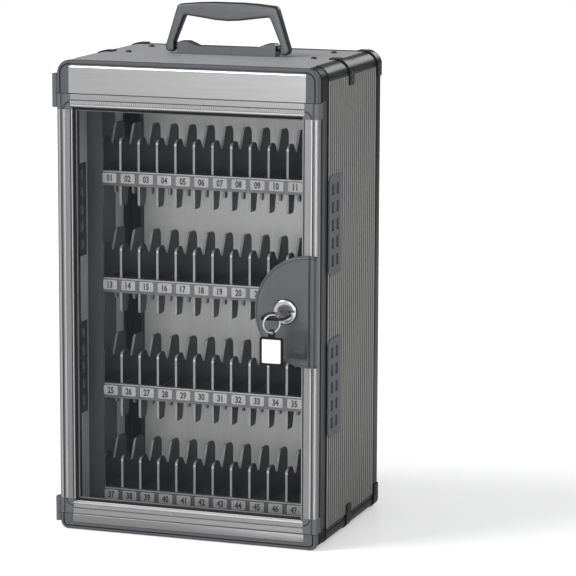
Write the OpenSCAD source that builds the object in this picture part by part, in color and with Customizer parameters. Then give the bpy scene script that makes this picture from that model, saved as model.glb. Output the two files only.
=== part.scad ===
// Cell phone locker box: a glazed cabinet with four numbered racks, a hinged
// door with a cam lock, and a folding carry handle.
// Frame: origin at the centre of the underside, +Z up, the door faces -Y,
// and +X is the lock side.

/* [Cabinet] */
// Width across the ribbed sides
body_w = 290; // [288:1:296]
// Depth from the door's face to the rear face
body_d = 214; // [214:1:222]
// Height from the floor to the top panel
body_h = 505; // [505:1:512]
// Outer radius of the two upper long edges
top_corner_r = 14; // [12:1:15]
// Outer radius of the two lower long edges
low_corner_r = 8; // [6:1:10]
// Number of vertical ribs on each side
rib_count = 24; // [20:1:28]

/* [Door] */
// Thickness of the door's frame
door_t = 12; // [12:0.5:12.5]
// Height of the door's top and bottom rails
door_rail_h = 14; // [13:0.5:15]
// Width of the door's stiles, as seen from the front
stile_w = 17.5; // [17:0.5:18]
// Thickness of the clear pane
pane_t = 3; // [2:0.5:3]
// Widest opening angle of the door, for reference
door_swing = 120; // [90:5:120]

/* [Racks] */
// Number of racks, one above the other
tiers = 4; // [4]
// Height from one rack to the next
tier_pitch = 116.5; // [114:0.5:117]
// Phone slots in each rack
slots = 12; // [12]
// Width of a phone slot, from divider to divider
slot_pitch = 21.1; // [20.5:0.1:21.3]
// Thickness of a slot divider
divider_t = 2.6; // [2:0.1:3]

/* [Lock] */
// Height of the lock's axis above the floor
lock_z = 253.5; // [245:0.5:260]
// Radius of the D-shaped lock plate
lock_plate_r = 59; // [56:0.5:60]
// Radius of the turning plug
plug_r = 7; // [6.5:0.1:7.2]

/* [Handle] */
// Width across the handle's feet
handle_w = 141; // [138:1:146]
// Height of the grip above the top panel
handle_h = 56; // [54:1:60]

/* [Hidden] */
$fn = 64;
eps = 0.5;

// Colours
gunmetal = [0.39, 0.40, 0.42];
silver = [0.72, 0.72, 0.72];
rib_grey = [0.55, 0.55, 0.54];
panel_grey = [0.66, 0.66, 0.67];
rack_black = [0.16, 0.16, 0.17];

// Faces of the cabinet
half_w = body_w / 2;
front_y = -body_d / 2;
rear_y = body_d / 2;
plan_r = 2;             // upright edges, seen from above
edge_r = 3;             // front and rear edges, seen from the side
sheet_t = 1.5;          // top, bottom and backing sheets
band = 16;              // height of the long edge profiles
bar_w = 14;             // width of the long edge profiles
corner_w = 14;          // width of the cabinet's plastic corners
frame_depth = 33;       // depth of the front frame
door_gap = 0.6;         // between the door and the cabinet
seam_low = 17;          // underside of the door
seam_top = body_h - 35; // top of the door
trim_h = 5;             // dark trim over the header
sill_trim_h = 8;        // dark trim under the sill
trim_lip = 4;           // depth of the trim in front of the panels
post_w = 12;
post_step_y = 22;       // depth at which the post's side face steps in
post_step = 1.5;
wall_t = 3;             // ribbed side panel, over its ribs
rib_h = 1.6;
rib_flank = 0.7;
rear_bar = 16;          // depth of the rear posts and rails
rear_post_w = 15;
back_set = 3;           // the back panel sits in by this much
back_t = 2;
inner_flange = 20;      // rear post's inner flange

// Edge clips, rivets and screws
clip_t = 1.4;
clip_w = 15;
clip_leg_x = 22;
clip_leg_z = 26;
clip_ys = [0, rear_y - 8.5];
rivet_r = 2;
rivet_rise = 0.8;
rivet_drops = [14, 20];
rivet_pin = 2.5;
screw_x = 105;
screw_ys = [front_y + 104, front_y + 172];
screw_head_r = 3.6;
screw_head_h = 2.2;
screw_shank_r = 1.7;
screw_nut_r = 3.6;
screw_nut_h = 2.4;

// Vent plates for the charging leads
vent_d = 40;
vent_h = 105;
vent_zs = [165.5, 338];
vent_flange_t = 1.2;
vent_inset = 2;
vent_chamfer = 5;
vent_rows = 5;
vent_cols = 2;
vent_pitch_z = 18.7;
vent_pitch_y = 15.5;
vent_slot_w = 7;
vent_slot_h = 11.5;

// Racks, measured from the front face
rack_y = front_y + 74;
strip_d = 5;
strip_h = 16;
strip_wall = 1.2;
strip_half = 123.8;
shelf_t = 3;
shelf_drop = 1.2;
shelf_end_y = front_y + 150;
upright_flange = 18;
upright_t = 2;
divider_y = rack_y + 5.5;
rack_base_z = 30;
floor_gap_z = 4;
prong_front = [0, 24];   // hanging prongs, along the depth
prong_rear = [36, 45.5];

// Door
door_half = half_w;
door_low = seam_low + door_gap;
door_top = seam_top - door_gap;
door_back = front_y + door_t;
door_corner_w = 15.5;
door_corner_h = 16.5;
pane_y = front_y + 5;
pane_hold = 3.8;        // how far the frame grips the pane
gasket_w = 3;
gasket_y = front_y + 1.5;
groove_w = 1;
groove_d = 0.8;
stile_grooves = [131.2, 141];
rail_groove_in = 8.5;

// Hinge
hinge_x = -half_w - 3;
hinge_y = front_y + 6;
knuckle_half_x = 3;
knuckle_half_y = 5;
knuckle_r = 2.4;
hinge_pin_r = 1.75;
hinge_play = 0.05;
bracket_h = 20;
knuckle_h = 15.2;
low_bracket_z = 3.7;
hinge_split = 0.3;
pin_end_gap = 3;

// Lock
lock_x = 111.2;
lock_plate_x = 135.7;
lock_face = front_y - 4.5;
lock_step_y = front_y - 2.5;
lock_bevel = 2;
recess_x = [112, 137];
recess_z = [204, 244];
recess_d = 2.5;
recess_r = 5;
flange_r = 12.5;
flange_h = 2.5;
barrel_r = 9.5;
barrel_play = 0.1;
housing_end = front_y + 16.5;
plug_play = 0.05;
plug_face = lock_face - flange_h - 0.4;
nut_r = 13;
nut_t = 4;
tang = 6;
cam_y = front_y + 17;
cam_t = 2.5;
cam_w = 12;
cam_reach = 28.5;
cam_head_r = 4.5;
cam_head_h = 1.2;
pocket_y = [front_y + 16.5, front_y + 20.5];
pocket_z = [lock_z - 26, lock_z + 9];
pocket_depth = 8;

// Key, ring and tag
keyway_w = 8.4;
keyway_h = 2.4;
keyway_end = front_y + 14;
blade_w = 8;
blade_h = 2.2;
blade_end = front_y + 12;
bow_w = 26;
bow_t = 3;
bow_r = 7;
bow_y = [front_y - 50, front_y - 16];
collar_w = 12;
ring_r = 9.3;
ring_wire_r = 0.8;
ring_x = lock_x + 1;
ring_y = front_y - 49.8;
ring_z = lock_z - 4.7;
ring_turn = 45;
bow_hole_r = 3;
bow_hole_x = ring_x + 5.7;
bow_hole_y = ring_y + 5.7;
tag_w = 25;
tag_h = 29.5;
tag_t = 3;
tag_r = 2.5;
tag_drop = 4.5;
tag_window_in = 2.4;
tag_window_d = 0.6;
eyelet_r = 3.6;
eyelet_hole_r = 2.2;
eyelet_t = 1.4;

// Handle
handle_x = 6;
handle_y = front_y + 113;
handle_t = 16;
handle_edge_r = 5;
pivot_z = body_h + 8.4;
pivot_pin_r = 3;
pivot_play = 0.05;
base_w = 111.2;
base_t = 16;
base_h = 9;
base_ear_h = 13.5;
base_ear = 11;
base_slope = 10.5;
foot_r = 6.3;
foot_w = 13.7;
foot_turn_r = 7.9;      // foot's round underside, about its pivot
ear_clear = 9.8;        // height that the legs stay upright for, beside the ears
pin_in = 48;
pin_out = 66;

// ---------------------------------------------------------------- helpers

// Block from three [low, high] spans
module block(x, y, z) {
    translate([x[0], y[0], z[0]])
        cube([x[1] - x[0], y[1] - y[0], z[1] - z[0]]);
}

// Extrude an (X, Z) outline along Y, a (Y, Z) outline along X,
// and an (X, Y) outline along Z
module along_y(y) {
    translate([0, y[1], 0]) rotate([90, 0, 0]) linear_extrude(y[1] - y[0]) children();
}
module along_x(x) {
    translate([x[0], 0, 0]) rotate([90, 0, 90]) linear_extrude(x[1] - x[0]) children();
}
module along_z(z) {
    translate([0, 0, z[0]]) linear_extrude(z[1] - z[0]) children();
}

// Round bar along Y
module rod_y(x, z, r, y) {
    translate([x, y[1], z]) rotate([90, 0, 0]) cylinder(r = r, h = y[1] - y[0]);
}

// The same piece on the other side
module on_side(side) {
    if (side > 0) children();
    else mirror([1, 0, 0]) children();
}
module both_sides() {
    children();
    mirror([1, 0, 0]) children();
}

// Rectangle with one radius on its low corners and one on its high corners
module rounded(x, y, r_low, r_high) {
    w = x[1] - x[0];
    mid = (y[0] + y[1]) / 2;
    translate([x[0] + r_low, y[0]]) square([w - 2 * r_low, mid - y[0]]);
    translate([x[0] + r_high, mid]) square([w - 2 * r_high, y[1] - mid]);
    translate([x[0], y[0] + r_low]) square([w, y[1] - y[0] - r_low - r_high]);
    for (s = [0, 1]) {
        translate([x[s] + (s == 0 ? r_low : -r_low), y[0] + r_low]) circle(r = r_low);
        translate([x[s] + (s == 0 ? r_high : -r_high), y[1] - r_high]) circle(r = r_high);
    }
}

// Points of an arc, from angle a0 to a1
function arc(c, r, a0, a1, n) =
    [for (i = [0:n]) let (a = a0 + (a1 - a0) * i / n) [c[0] + r * cos(a), c[1] + r * sin(a)]];

// An outline's right half, followed by its mirror image
function mirrored(pts) =
    concat(pts, [for (i = [len(pts) - 1:-1:0]) [-pts[i][0], pts[i][1]]]);

// Outer form of the cabinet, with its rounded long edges
module cabinet_form() {
    intersection() {
        along_y([front_y, rear_y])
            rounded([-half_w, half_w], [0, body_h], low_corner_r, top_corner_r);
        along_z([0, body_h])
            rounded([-half_w, half_w], [front_y, rear_y], plan_r, plan_r);
        along_x([-half_w, half_w])
            rounded([front_y, rear_y], [0, body_h], edge_r, edge_r);
    }
}

// ---------------------------------------------------------------- front frame

module header_rail() {
    color(silver) difference() {
        block([-half_w + corner_w, half_w - corner_w], [front_y, front_y + frame_depth],
            [seam_top, body_h - trim_h]);
        block([-half_w, half_w], [front_y + 2, front_y + frame_depth - 2],
            [seam_top + 2, body_h - trim_h - 2]);
    }
}

module front_trims() {
    inner = half_w - corner_w;
    color(gunmetal) intersection() {
        cabinet_form();
        union() {
            block([-inner, inner], [front_y, front_y + frame_depth],
                [body_h - trim_h, body_h - sheet_t]);
            block([-inner, inner], [front_y, front_y + trim_lip],
                [body_h - trim_h, body_h]);
            block([-inner, inner], [front_y, front_y + frame_depth],
                [sheet_t, sill_trim_h]);
            block([-inner, inner], [front_y, front_y + trim_lip], [0, sill_trim_h]);
        }
    }
}

module sill_rail() {
    inner = half_w - corner_w;
    color(silver) block([-inner, inner], [front_y, front_y + frame_depth],
        [sill_trim_h, seam_low]);
}

// Post behind the door's edge, stepped on its outer face
module front_post(has_pocket) {
    inner = half_w - post_w;
    color(gunmetal) difference() {
        block([inner, half_w], [door_back + door_gap, front_y + frame_depth],
            [seam_low, seam_top]);
        block([half_w - post_step, half_w + eps],
            [front_y + post_step_y, front_y + frame_depth + eps],
            [seam_low - eps, seam_top + eps]);
        if (has_pocket)
            block([inner - eps, inner + pocket_depth], pocket_y, pocket_z);
    }
}
module front_post_left() { on_side(-1) front_post(false); }
module front_post_right() { on_side(1) front_post(true); }

// Plastic corner of the front frame
module body_corner(z) {
    color(gunmetal) intersection() {
        cabinet_form();
        block([half_w - corner_w, half_w], [front_y, front_y + frame_depth], z);
    }
}
module corner_top_left() { on_side(-1) body_corner([seam_top, body_h]); }
module corner_top_right() { on_side(1) body_corner([seam_top, body_h]); }
module corner_bottom_left() { on_side(-1) body_corner([0, seam_low]); }
module corner_bottom_right() { on_side(1) body_corner([0, seam_low]); }

// ---------------------------------------------------------------- edge frame

// Long edge profile, grooved along its outer face
module edge_profile(z, groove_z) {
    color(gunmetal) difference() {
        intersection() {
            cabinet_form();
            block([half_w - bar_w, half_w], [front_y + frame_depth, rear_y], z);
        }
        block([half_w - groove_d, half_w + eps],
            [front_y + frame_depth - eps, rear_y - rear_bar],
            [groove_z, groove_z + groove_w]);
        edge_clip_pairs(false);
    }
}
top_band = [body_h - band, body_h];
low_band = [0, band];
top_groove_z = body_h - band + 3;
low_groove_z = band - 4;
module edge_profile_top_left() { on_side(-1) edge_profile(top_band, top_groove_z); }
module edge_profile_top_right() { on_side(1) edge_profile(top_band, top_groove_z); }
module edge_profile_bottom_left() { on_side(-1) edge_profile(low_band, low_groove_z); }
module edge_profile_bottom_right() { on_side(1) edge_profile(low_band, low_groove_z); }

module rear_rail(z) {
    inner = half_w - bar_w;
    color(gunmetal) intersection() {
        cabinet_form();
        block([-inner, inner], [rear_y - rear_bar, rear_y], z);
    }
}
module rear_rail_top() { rear_rail(top_band); }
module rear_rail_bottom() {
    color(gunmetal) difference() {
        rear_rail(low_band);
        both_sides() edge_clip_pairs(false);
    }
}

module rear_post() {
    color(gunmetal) intersection() {
        cabinet_form();
        union() {
            block([half_w - rear_post_w, half_w], [rear_y - rear_bar, rear_y],
                [band, body_h - band]);
            block([half_w - wall_t - 2.5, half_w - wall_t],
                [rear_y - rear_bar - inner_flange, rear_y - rear_bar],
                [band, body_h - band]);
        }
    }
}
module rear_post_left() { on_side(-1) rear_post(); }
module rear_post_right() { on_side(1) rear_post(); }

// ---------------------------------------------------------------- panels

module top_panel() {
    inner = half_w - bar_w;
    color(panel_grey) difference() {
        block([-inner, inner], [front_y + trim_lip, rear_y - rear_bar],
            [body_h - sheet_t, body_h]);
        for (x = [-screw_x, screw_x], y = screw_ys)
            translate([x, y, body_h - sheet_t - eps])
                cylinder(r = screw_shank_r, h = sheet_t + 2 * eps);
    }
}

module bottom_panel() {
    inner = half_w - bar_w;
    color(panel_grey) difference() {
        block([-inner, inner], [front_y + trim_lip, rear_y - rear_bar], [0, sheet_t]);
        both_sides() edge_clip_pairs(false);
    }
}

module back_panel() {
    inner = half_w - rear_post_w;
    color(panel_grey) block([-inner, inner],
        [rear_y - back_set - back_t, rear_y - back_set], [band, body_h - band]);
}

// Ribbed wall between the front and rear posts, with a window for each vent plate
module side_panel() {
    y0 = front_y + frame_depth;
    y1 = rear_y - rear_bar;
    pitch = (y1 - y0) / rib_count;
    crest = half_w;
    root = half_w - rib_h;
    rib_points = [for (i = [0:rib_count - 1]) let (a = y0 + i * pitch)
        each [[root, a + 1], [crest, a + 1 + rib_flank],
              [crest, a + pitch - 1 - rib_flank], [root, a + pitch - 1]]];
    color(rib_grey) difference() {
        along_z([band, body_h - band])
            polygon(concat([[half_w - wall_t, y0], [root, y0]], rib_points,
                [[root, y1], [half_w - wall_t, y1]]));
        for (z = vent_zs) vent_window(z);
    }
}
module side_panel_left() { on_side(-1) side_panel(); }
module side_panel_right() { on_side(1) side_panel(); }

vent_y0 = front_y + frame_depth + 0.5;

module vent_window(z) {
    block([half_w - wall_t - eps, half_w + eps],
        [vent_y0 + vent_inset, vent_y0 + vent_d - vent_inset],
        [z - vent_h / 2 + vent_inset, z + vent_h / 2 - vent_inset]);
}

// Slotted plate that fills a window and laps over the ribs
module vent_plate(z) {
    low = z - vent_h / 2;
    high = z + vent_h / 2;
    y1 = vent_y0 + vent_d;
    c = vent_chamfer;
    difference() {
        union() {
            along_x([half_w, half_w + vent_flange_t])
                polygon([[vent_y0 + c, low], [y1, low], [y1, high], [vent_y0 + c, high],
                    [vent_y0, high - c], [vent_y0, low + c]]);
            block([half_w - wall_t, half_w],
                [vent_y0 + vent_inset, y1 - vent_inset],
                [low + vent_inset, high - vent_inset]);
        }
        for (i = [0:vent_rows - 1], j = [0:vent_cols - 1]) {
            yc = vent_y0 + vent_d / 2 + (j - (vent_cols - 1) / 2) * vent_pitch_y;
            zc = z + (i - (vent_rows - 1) / 2) * vent_pitch_z;
            block([half_w - wall_t - eps, half_w + vent_flange_t + eps],
                [yc - vent_slot_w / 2, yc + vent_slot_w / 2],
                [zc - vent_slot_h / 2, zc + vent_slot_h / 2]);
        }
    }
}
module vent_plates() {
    color(gunmetal) both_sides() for (z = vent_zs) vent_plate(z);
}

// ---------------------------------------------------------------- clips and screws

// Strap bent over an upper edge, and one bent under a lower edge
module edge_clip_outline() {
    difference() {
        rounded([-half_w - clip_t, half_w + clip_t], [0, body_h + clip_t],
            low_corner_r, top_corner_r + clip_t);
        rounded([-half_w, half_w], [clip_t, body_h], low_corner_r - clip_t, top_corner_r);
    }
}
module edge_clip_pairs(with_holes) {
    for (y = clip_ys) difference() {
        intersection() {
            along_y([y - clip_w / 2, y + clip_w / 2]) edge_clip_outline();
            union() {
                block([half_w - clip_leg_x, half_w + clip_t + eps], [y - clip_w, y + clip_w],
                    [body_h - clip_leg_z, body_h + clip_t + eps]);
                block([half_w - clip_leg_x, half_w + clip_t + eps], [y - clip_w, y + clip_w],
                    [-eps, clip_leg_z]);
            }
        }
        if (with_holes) rivet_shanks(y);
    }
}
module rivet_shanks(y) {
    for (d = rivet_drops, z = [body_h - d, d])
        translate([half_w - eps, y, z]) rotate([0, 90, 0])
            cylinder(r = rivet_r / 2, h = clip_t + 2 * eps);
}
module edge_clips() {
    color(gunmetal) both_sides() edge_clip_pairs(true);
}

module clip_rivets() {
    color(silver) both_sides() for (y = clip_ys, d = rivet_drops, z = [body_h - d, d])
        translate([half_w, y, z]) rotate([0, 90, 0]) {
            cylinder(r = rivet_r / 2, h = clip_t);
            translate([0, 0, clip_t]) cylinder(r1 = rivet_r, r2 = rivet_r * 0.6, h = rivet_rise);
        }
}

// Domed screw with the nut that holds it under the backing plate
module top_screw() {
    dome = [for (i = [0:6]) let (a = i * 15)
        [screw_head_r * cos(a), screw_head_h * sin(a)]];
    translate([0, 0, body_h]) rotate_extrude() polygon(concat([[0, 0]], dome));
    under = body_h - 2 * sheet_t;
    translate([0, 0, under]) cylinder(r = screw_shank_r, h = 2 * sheet_t + 0.2);
    translate([0, 0, under - screw_nut_h]) cylinder(r = screw_nut_r, h = screw_nut_h, $fn = 6);
}
module top_screws() {
    color(gunmetal * 0.5) for (x = [-screw_x, screw_x], y = screw_ys)
        translate([x, y, 0]) top_screw();
}

module handle_backing_plate() {
    color(silver) difference() {
        block([-screw_x - 9, screw_x + 9], [screw_ys[0] - 9, screw_ys[1] + 9],
            [body_h - 2 * sheet_t, body_h - sheet_t]);
        for (x = [-screw_x, screw_x], y = screw_ys)
            translate([x, y, body_h - 2 * sheet_t - eps])
                cylinder(r = screw_shank_r, h = sheet_t + 2 * eps);
    }
}

// ---------------------------------------------------------------- racks

function rack_z(n) = rack_base_z + (tiers - n) * tier_pitch;

// Angle that the shelves hang on
module rack_upright() {
    wall = half_w - wall_t;
    z = [band, body_h - band];
    color([0.27, 0.28, 0.30]) {
        block([wall - upright_flange, wall], [rack_y, rack_y + upright_t], z);
        block([wall - upright_t, wall], [rack_y + upright_t, shelf_end_y], z);
    }
}
module rack_upright_left() { on_side(-1) rack_upright(); }
module rack_upright_right() { on_side(1) rack_upright(); }

// Shelf with an apron for the number strip and a slot for each divider's prongs
module rack_shelf(n) {
    top = rack_z(n) - shelf_drop;
    reach = half_w - wall_t - upright_t;
    color(rack_black) difference() {
        union() {
            block([-reach, reach], [rack_y + strip_d, shelf_end_y], [top - shelf_t, top]);
            block([-strip_half, strip_half], [rack_y + strip_wall, rack_y + strip_d],
                [rack_z(n) - strip_h + strip_wall, top]);
        }
        for (i = [0:slots], span = [prong_front, prong_rear])
            block(divider_x(i), [divider_y + span[0], divider_y + span[1]],
                [top - shelf_t - eps, top + eps]);
    }
}
function divider_x(i) = let (x = (i - slots / 2) * slot_pitch)
    [x - divider_t / 2, x + divider_t / 2];
module rack_shelf_1() { rack_shelf(1); }
module rack_shelf_2() { rack_shelf(2); }
module rack_shelf_3() { rack_shelf(3); }
module rack_shelf_4() { rack_shelf(4); }

// Side view of a divider: depth from its front edge, height from the rack's top.
// A low front prong, a valley, a tall rear prong, and two prongs that hang
// through the shelf.
module divider_outline() {
    base = -shelf_drop;
    polygon(concat(
        [[0, base], [0, 30]],
        arc([4.5, 30], 4.5, 180, 115, 4),
        arc([12, 26.5], 9.5, 100, 40, 6),
        [[22.5, 27]],
        arc([26, 28], 3, 230, 320, 4),
        [[36, 42]],
        arc([42.5, 40.5], 6.5, 155, 100, 4),
        arc([53.5, 38.5], 8.5, 80, 0, 6),
        [[62, base]]));
    hanging_prong(prong_front[0], prong_front[1], 7.5, -38);
    hanging_prong(prong_rear[0], prong_rear[1], 3, -30);
}
// Prong from the shelf down to tip_z, drawn in at the back by taper
module hanging_prong(y0, y1, taper, tip_z) {
    r = 3;
    polygon(concat(
        [[y0, -shelf_drop], [y0, tip_z + r]],
        arc([y0 + r, tip_z + r], r, 180, 270, 4),
        arc([y1 - taper - r, tip_z + r], r, 270, 350, 4),
        [[y1, -shelf_drop - shelf_t - 2], [y1, -shelf_drop]]));
}
module slot_dividers(n) {
    color(rack_black) intersection() {
        for (i = [0:slots])
            along_x(divider_x(i)) translate([divider_y, rack_z(n)]) divider_outline();
        block([-half_w, half_w], [front_y, rear_y], [floor_gap_z, body_h]);
    }
}
module slot_dividers_1() { slot_dividers(1); }
module slot_dividers_2() { slot_dividers(2); }
module slot_dividers_3() { slot_dividers(3); }
module slot_dividers_4() { slot_dividers(4); }

// Channel that clips over each shelf's apron and carries the slot numbers
module number_strips() {
    color([0.52, 0.52, 0.53]) for (n = [1:tiers]) {
        top = rack_z(n);
        low = top - strip_h;
        block([-strip_half, strip_half], [rack_y, rack_y + strip_wall], [low, top]);
        block([-strip_half, strip_half], [rack_y + strip_wall, rack_y + strip_d],
            [top - strip_wall, top]);
        block([-strip_half, strip_half], [rack_y + strip_wall, rack_y + strip_d],
            [low, low + strip_wall]);
    }
}

// ---------------------------------------------------------------- door

module door_corner_outline() {
    inner = half_w - stile_w;
    polygon([[half_w - door_corner_w, 0], [half_w, 0], [half_w, -door_corner_h],
        [inner, -door_corner_h], [inner, -door_rail_h], [half_w - door_corner_w, -door_rail_h]]);
}

// Space that the frame leaves for the pane's edge
module pane_pocket() {
    edge = half_w - stile_w + pane_hold;
    block([-edge, edge], [pane_y, pane_y + pane_t],
        [door_low + door_rail_h - pane_hold, door_top - door_rail_h + pane_hold]);
}

module door_corners() {
    color(gunmetal) difference() {
        both_sides() {
            along_y([front_y, door_back])
                translate([0, door_top]) door_corner_outline();
            along_y([front_y, door_back])
                translate([0, door_low]) mirror([0, 1]) door_corner_outline();
        }
        pane_pocket();
    }
}

module door_rail(z, groove_z) {
    reach = half_w - door_corner_w;
    color(silver) difference() {
        block([-reach, reach], [front_y, door_back], z);
        pane_pocket();
        block([-reach - eps, reach + eps], [front_y - eps, front_y + groove_d],
            [groove_z - groove_w / 2, groove_z + groove_w / 2]);
    }
}
module door_rail_top() {
    door_rail([door_top - door_rail_h, door_top], door_top - rail_groove_in);
}
module door_rail_bottom() {
    door_rail([door_low, door_low + door_rail_h], door_low + rail_groove_in);
}

module door_stile() {
    color(silver) difference() {
        block([half_w - stile_w, half_w], [front_y, door_back],
            [door_low + door_corner_h, door_top - door_corner_h]);
        pane_pocket();
        for (x = stile_grooves)
            block([x - groove_w / 2, x + groove_w / 2], [front_y - eps, front_y + groove_d],
                [door_low, door_top]);
    }
}
module door_stile_hinge() { on_side(-1) door_stile(); }
module door_stile_lock() { on_side(1) door_stile(); }

module door_pane() {
    color([0.85, 0.9, 0.92, 0.25]) difference() {
        pane_pocket();
        rod_y(lock_x, lock_z, barrel_r + 5 * barrel_play, [pane_y - eps, pane_y + pane_t + eps]);
    }
}

// Bead between the frame and the pane's face
module door_gasket() {
    edge = half_w - stile_w;
    low = door_low + door_rail_h;
    high = door_top - door_rail_h;
    color([0.08, 0.08, 0.09]) difference() {
        block([-edge, edge], [gasket_y, pane_y], [low, high]);
        block([-edge + gasket_w, edge - gasket_w], [gasket_y - eps, pane_y + eps],
            [low + gasket_w, high - gasket_w]);
        both_sides() for (z = [low, high])
            block([half_w - stile_w - eps, half_w], [gasket_y - eps, pane_y + eps],
                [z - 3, z + 3]);
        both_sides() gasket_relief();
    }
}
// The door corners' inner legs stand where the gasket's corners would be
module gasket_relief() {
    step = door_corner_h - door_rail_h;
    for (z = [[door_low + door_rail_h - eps, door_low + door_rail_h + step],
              [door_top - door_rail_h - step, door_top - door_rail_h + eps]])
        block([half_w - stile_w, half_w], [gasket_y - eps, pane_y + eps], z);
}

// ---------------------------------------------------------------- hinge

module hinge_outline() {
    rounded([hinge_x - knuckle_half_x, hinge_x + knuckle_half_x],
        [hinge_y - knuckle_half_y, hinge_y + knuckle_half_y], knuckle_r, knuckle_r);
    translate([hinge_x, hinge_y - knuckle_half_y + 1])
        square([knuckle_half_x, 2 * knuckle_half_y - 2]);
}
module hinge_leaf(z, bore_r) {
    difference() {
        along_z(z) hinge_outline();
        translate([hinge_x, hinge_y, z[0] - eps]) cylinder(r = bore_r, h = z[1] - z[0] + 2 * eps);
    }
}
top_bracket_z = [seam_top + hinge_split / 2, seam_top + bracket_h];
top_knuckle_z = [seam_top - hinge_split / 2 - knuckle_h, seam_top - hinge_split / 2];
low_bracket_span = [low_corner_r, seam_low - hinge_split / 2];
low_knuckle_z = [seam_low + hinge_split / 2, seam_low + hinge_split / 2 + knuckle_h + 2];
module hinge_brackets() {
    color(gunmetal) {
        hinge_leaf(top_bracket_z, hinge_pin_r + hinge_play);
        hinge_leaf(low_bracket_span, hinge_pin_r + hinge_play);
    }
}
module hinge_knuckles() {
    color(gunmetal) {
        hinge_leaf(top_knuckle_z, hinge_pin_r);
        hinge_leaf(low_knuckle_z, hinge_pin_r);
    }
}
module hinge_pins() {
    color(silver) for (z = [[top_knuckle_z[0] + pin_end_gap, top_bracket_z[1] - pin_end_gap],
                            [low_bracket_span[0] + 1, low_knuckle_z[1] - pin_end_gap]])
        translate([hinge_x, hinge_y, z[0]]) cylinder(r = hinge_pin_r, h = z[1] - z[0]);
}

// ---------------------------------------------------------------- lock

// D-shaped outline, cut flush with the door's edge
module lock_plate_outline(r, right) {
    intersection() {
        translate([lock_plate_x, lock_z]) circle(r = r, $fn = 96);
        translate([0, lock_z - r]) square([right, 2 * r]);
    }
}
module lock_plate() {
    behind = half_w - stile_w - gasket_w - 0.3;
    color(gunmetal) difference() {
        union() {
            along_y([lock_face, lock_step_y])
                lock_plate_outline(lock_plate_r - lock_bevel, half_w);
            along_y([lock_step_y, front_y]) lock_plate_outline(lock_plate_r, half_w);
            along_y([front_y, pane_y]) lock_plate_outline(lock_plate_r - lock_bevel, behind);
        }
        along_y([lock_face - eps, lock_face + recess_d])
            rounded(recess_x, recess_z, recess_r, recess_r);
        rod_y(lock_x, lock_z, barrel_r + barrel_play, [lock_face - eps, pane_y + eps]);
    }
}

module lock_housing() {
    color([0.8, 0.8, 0.82]) difference() {
        union() {
            rod_y(lock_x, lock_z, flange_r, [lock_face - flange_h + 0.8, lock_face]);
            translate([lock_x, lock_face - flange_h + 0.8, lock_z]) rotate([90, 0, 0])
                cylinder(r1 = flange_r, r2 = flange_r - 1.2, h = 0.8);
            rod_y(lock_x, lock_z, barrel_r, [lock_face, housing_end]);
        }
        rod_y(lock_x, lock_z, plug_r + plug_play,
            [lock_face - flange_h - eps, housing_end + eps]);
    }
}

module lock_nut() {
    color(silver) difference() {
        translate([lock_x, pane_y + pane_t + nut_t, lock_z]) rotate([90, 0, 0])
            cylinder(r = nut_r, h = nut_t, $fn = 6);
        rod_y(lock_x, lock_z, barrel_r, [pane_y, pane_y + pane_t + nut_t + eps]);
    }
}

// Plug with its keyway, and a tang whose riveted head holds the cam
module lock_plug() {
    color([0.78, 0.78, 0.8]) {
        difference() {
            rod_y(lock_x, lock_z, plug_r, [plug_face, housing_end + 0.2]);
            block([lock_x - keyway_w / 2, lock_x + keyway_w / 2], [plug_face - eps, keyway_end],
                [lock_z - keyway_h / 2, lock_z + keyway_h / 2]);
        }
        block([lock_x - tang / 2, lock_x + tang / 2], [housing_end, cam_y + cam_t],
            [lock_z - tang / 2, lock_z + tang / 2]);
        rod_y(lock_x, lock_z, cam_head_r, [cam_y + cam_t, cam_y + cam_t + cam_head_h]);
    }
}

// Cam that hangs down when unlocked and turns behind the post when locked
module lock_cam() {
    color(silver) difference() {
        union() {
            rod_y(lock_x, lock_z, cam_w / 2 + 1, [cam_y, cam_y + cam_t]);
            block([lock_x - cam_w / 2, lock_x + cam_w / 2], [cam_y, cam_y + cam_t],
                [lock_z - cam_reach + cam_w / 2, lock_z]);
            rod_y(lock_x, lock_z - cam_reach + cam_w / 2, cam_w / 2, [cam_y, cam_y + cam_t]);
        }
        block([lock_x - tang / 2, lock_x + tang / 2], [cam_y - eps, cam_y + cam_t + eps],
            [lock_z - tang / 2, lock_z + tang / 2]);
    }
}

// ---------------------------------------------------------------- key, ring, tag

module key() {
    color([0.12, 0.12, 0.13]) {
        difference() {
            along_z([lock_z - bow_t / 2, lock_z + bow_t / 2])
                rounded([lock_x - bow_w / 2, lock_x + bow_w / 2], bow_y, bow_r, bow_r);
            translate([bow_hole_x, bow_hole_y, lock_z - bow_t])
                cylinder(r = bow_hole_r, h = 2 * bow_t);
        }
        block([lock_x - collar_w / 2, lock_x + collar_w / 2],
            [bow_y[1] - eps, plug_face - 0.3], [lock_z - bow_t / 2, lock_z + bow_t / 2]);
        block([lock_x - blade_w / 2, lock_x + blade_w / 2], [plug_face - 1, blade_end],
            [lock_z - blade_h / 2, lock_z + blade_h / 2]);
    }
}

module key_ring() {
    color([0.82, 0.82, 0.84]) translate([ring_x, ring_y, ring_z])
        rotate([90, 0, ring_turn]) rotate_extrude()
            translate([ring_r, 0]) circle(r = ring_wire_r, $fn = 24);
}

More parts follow.
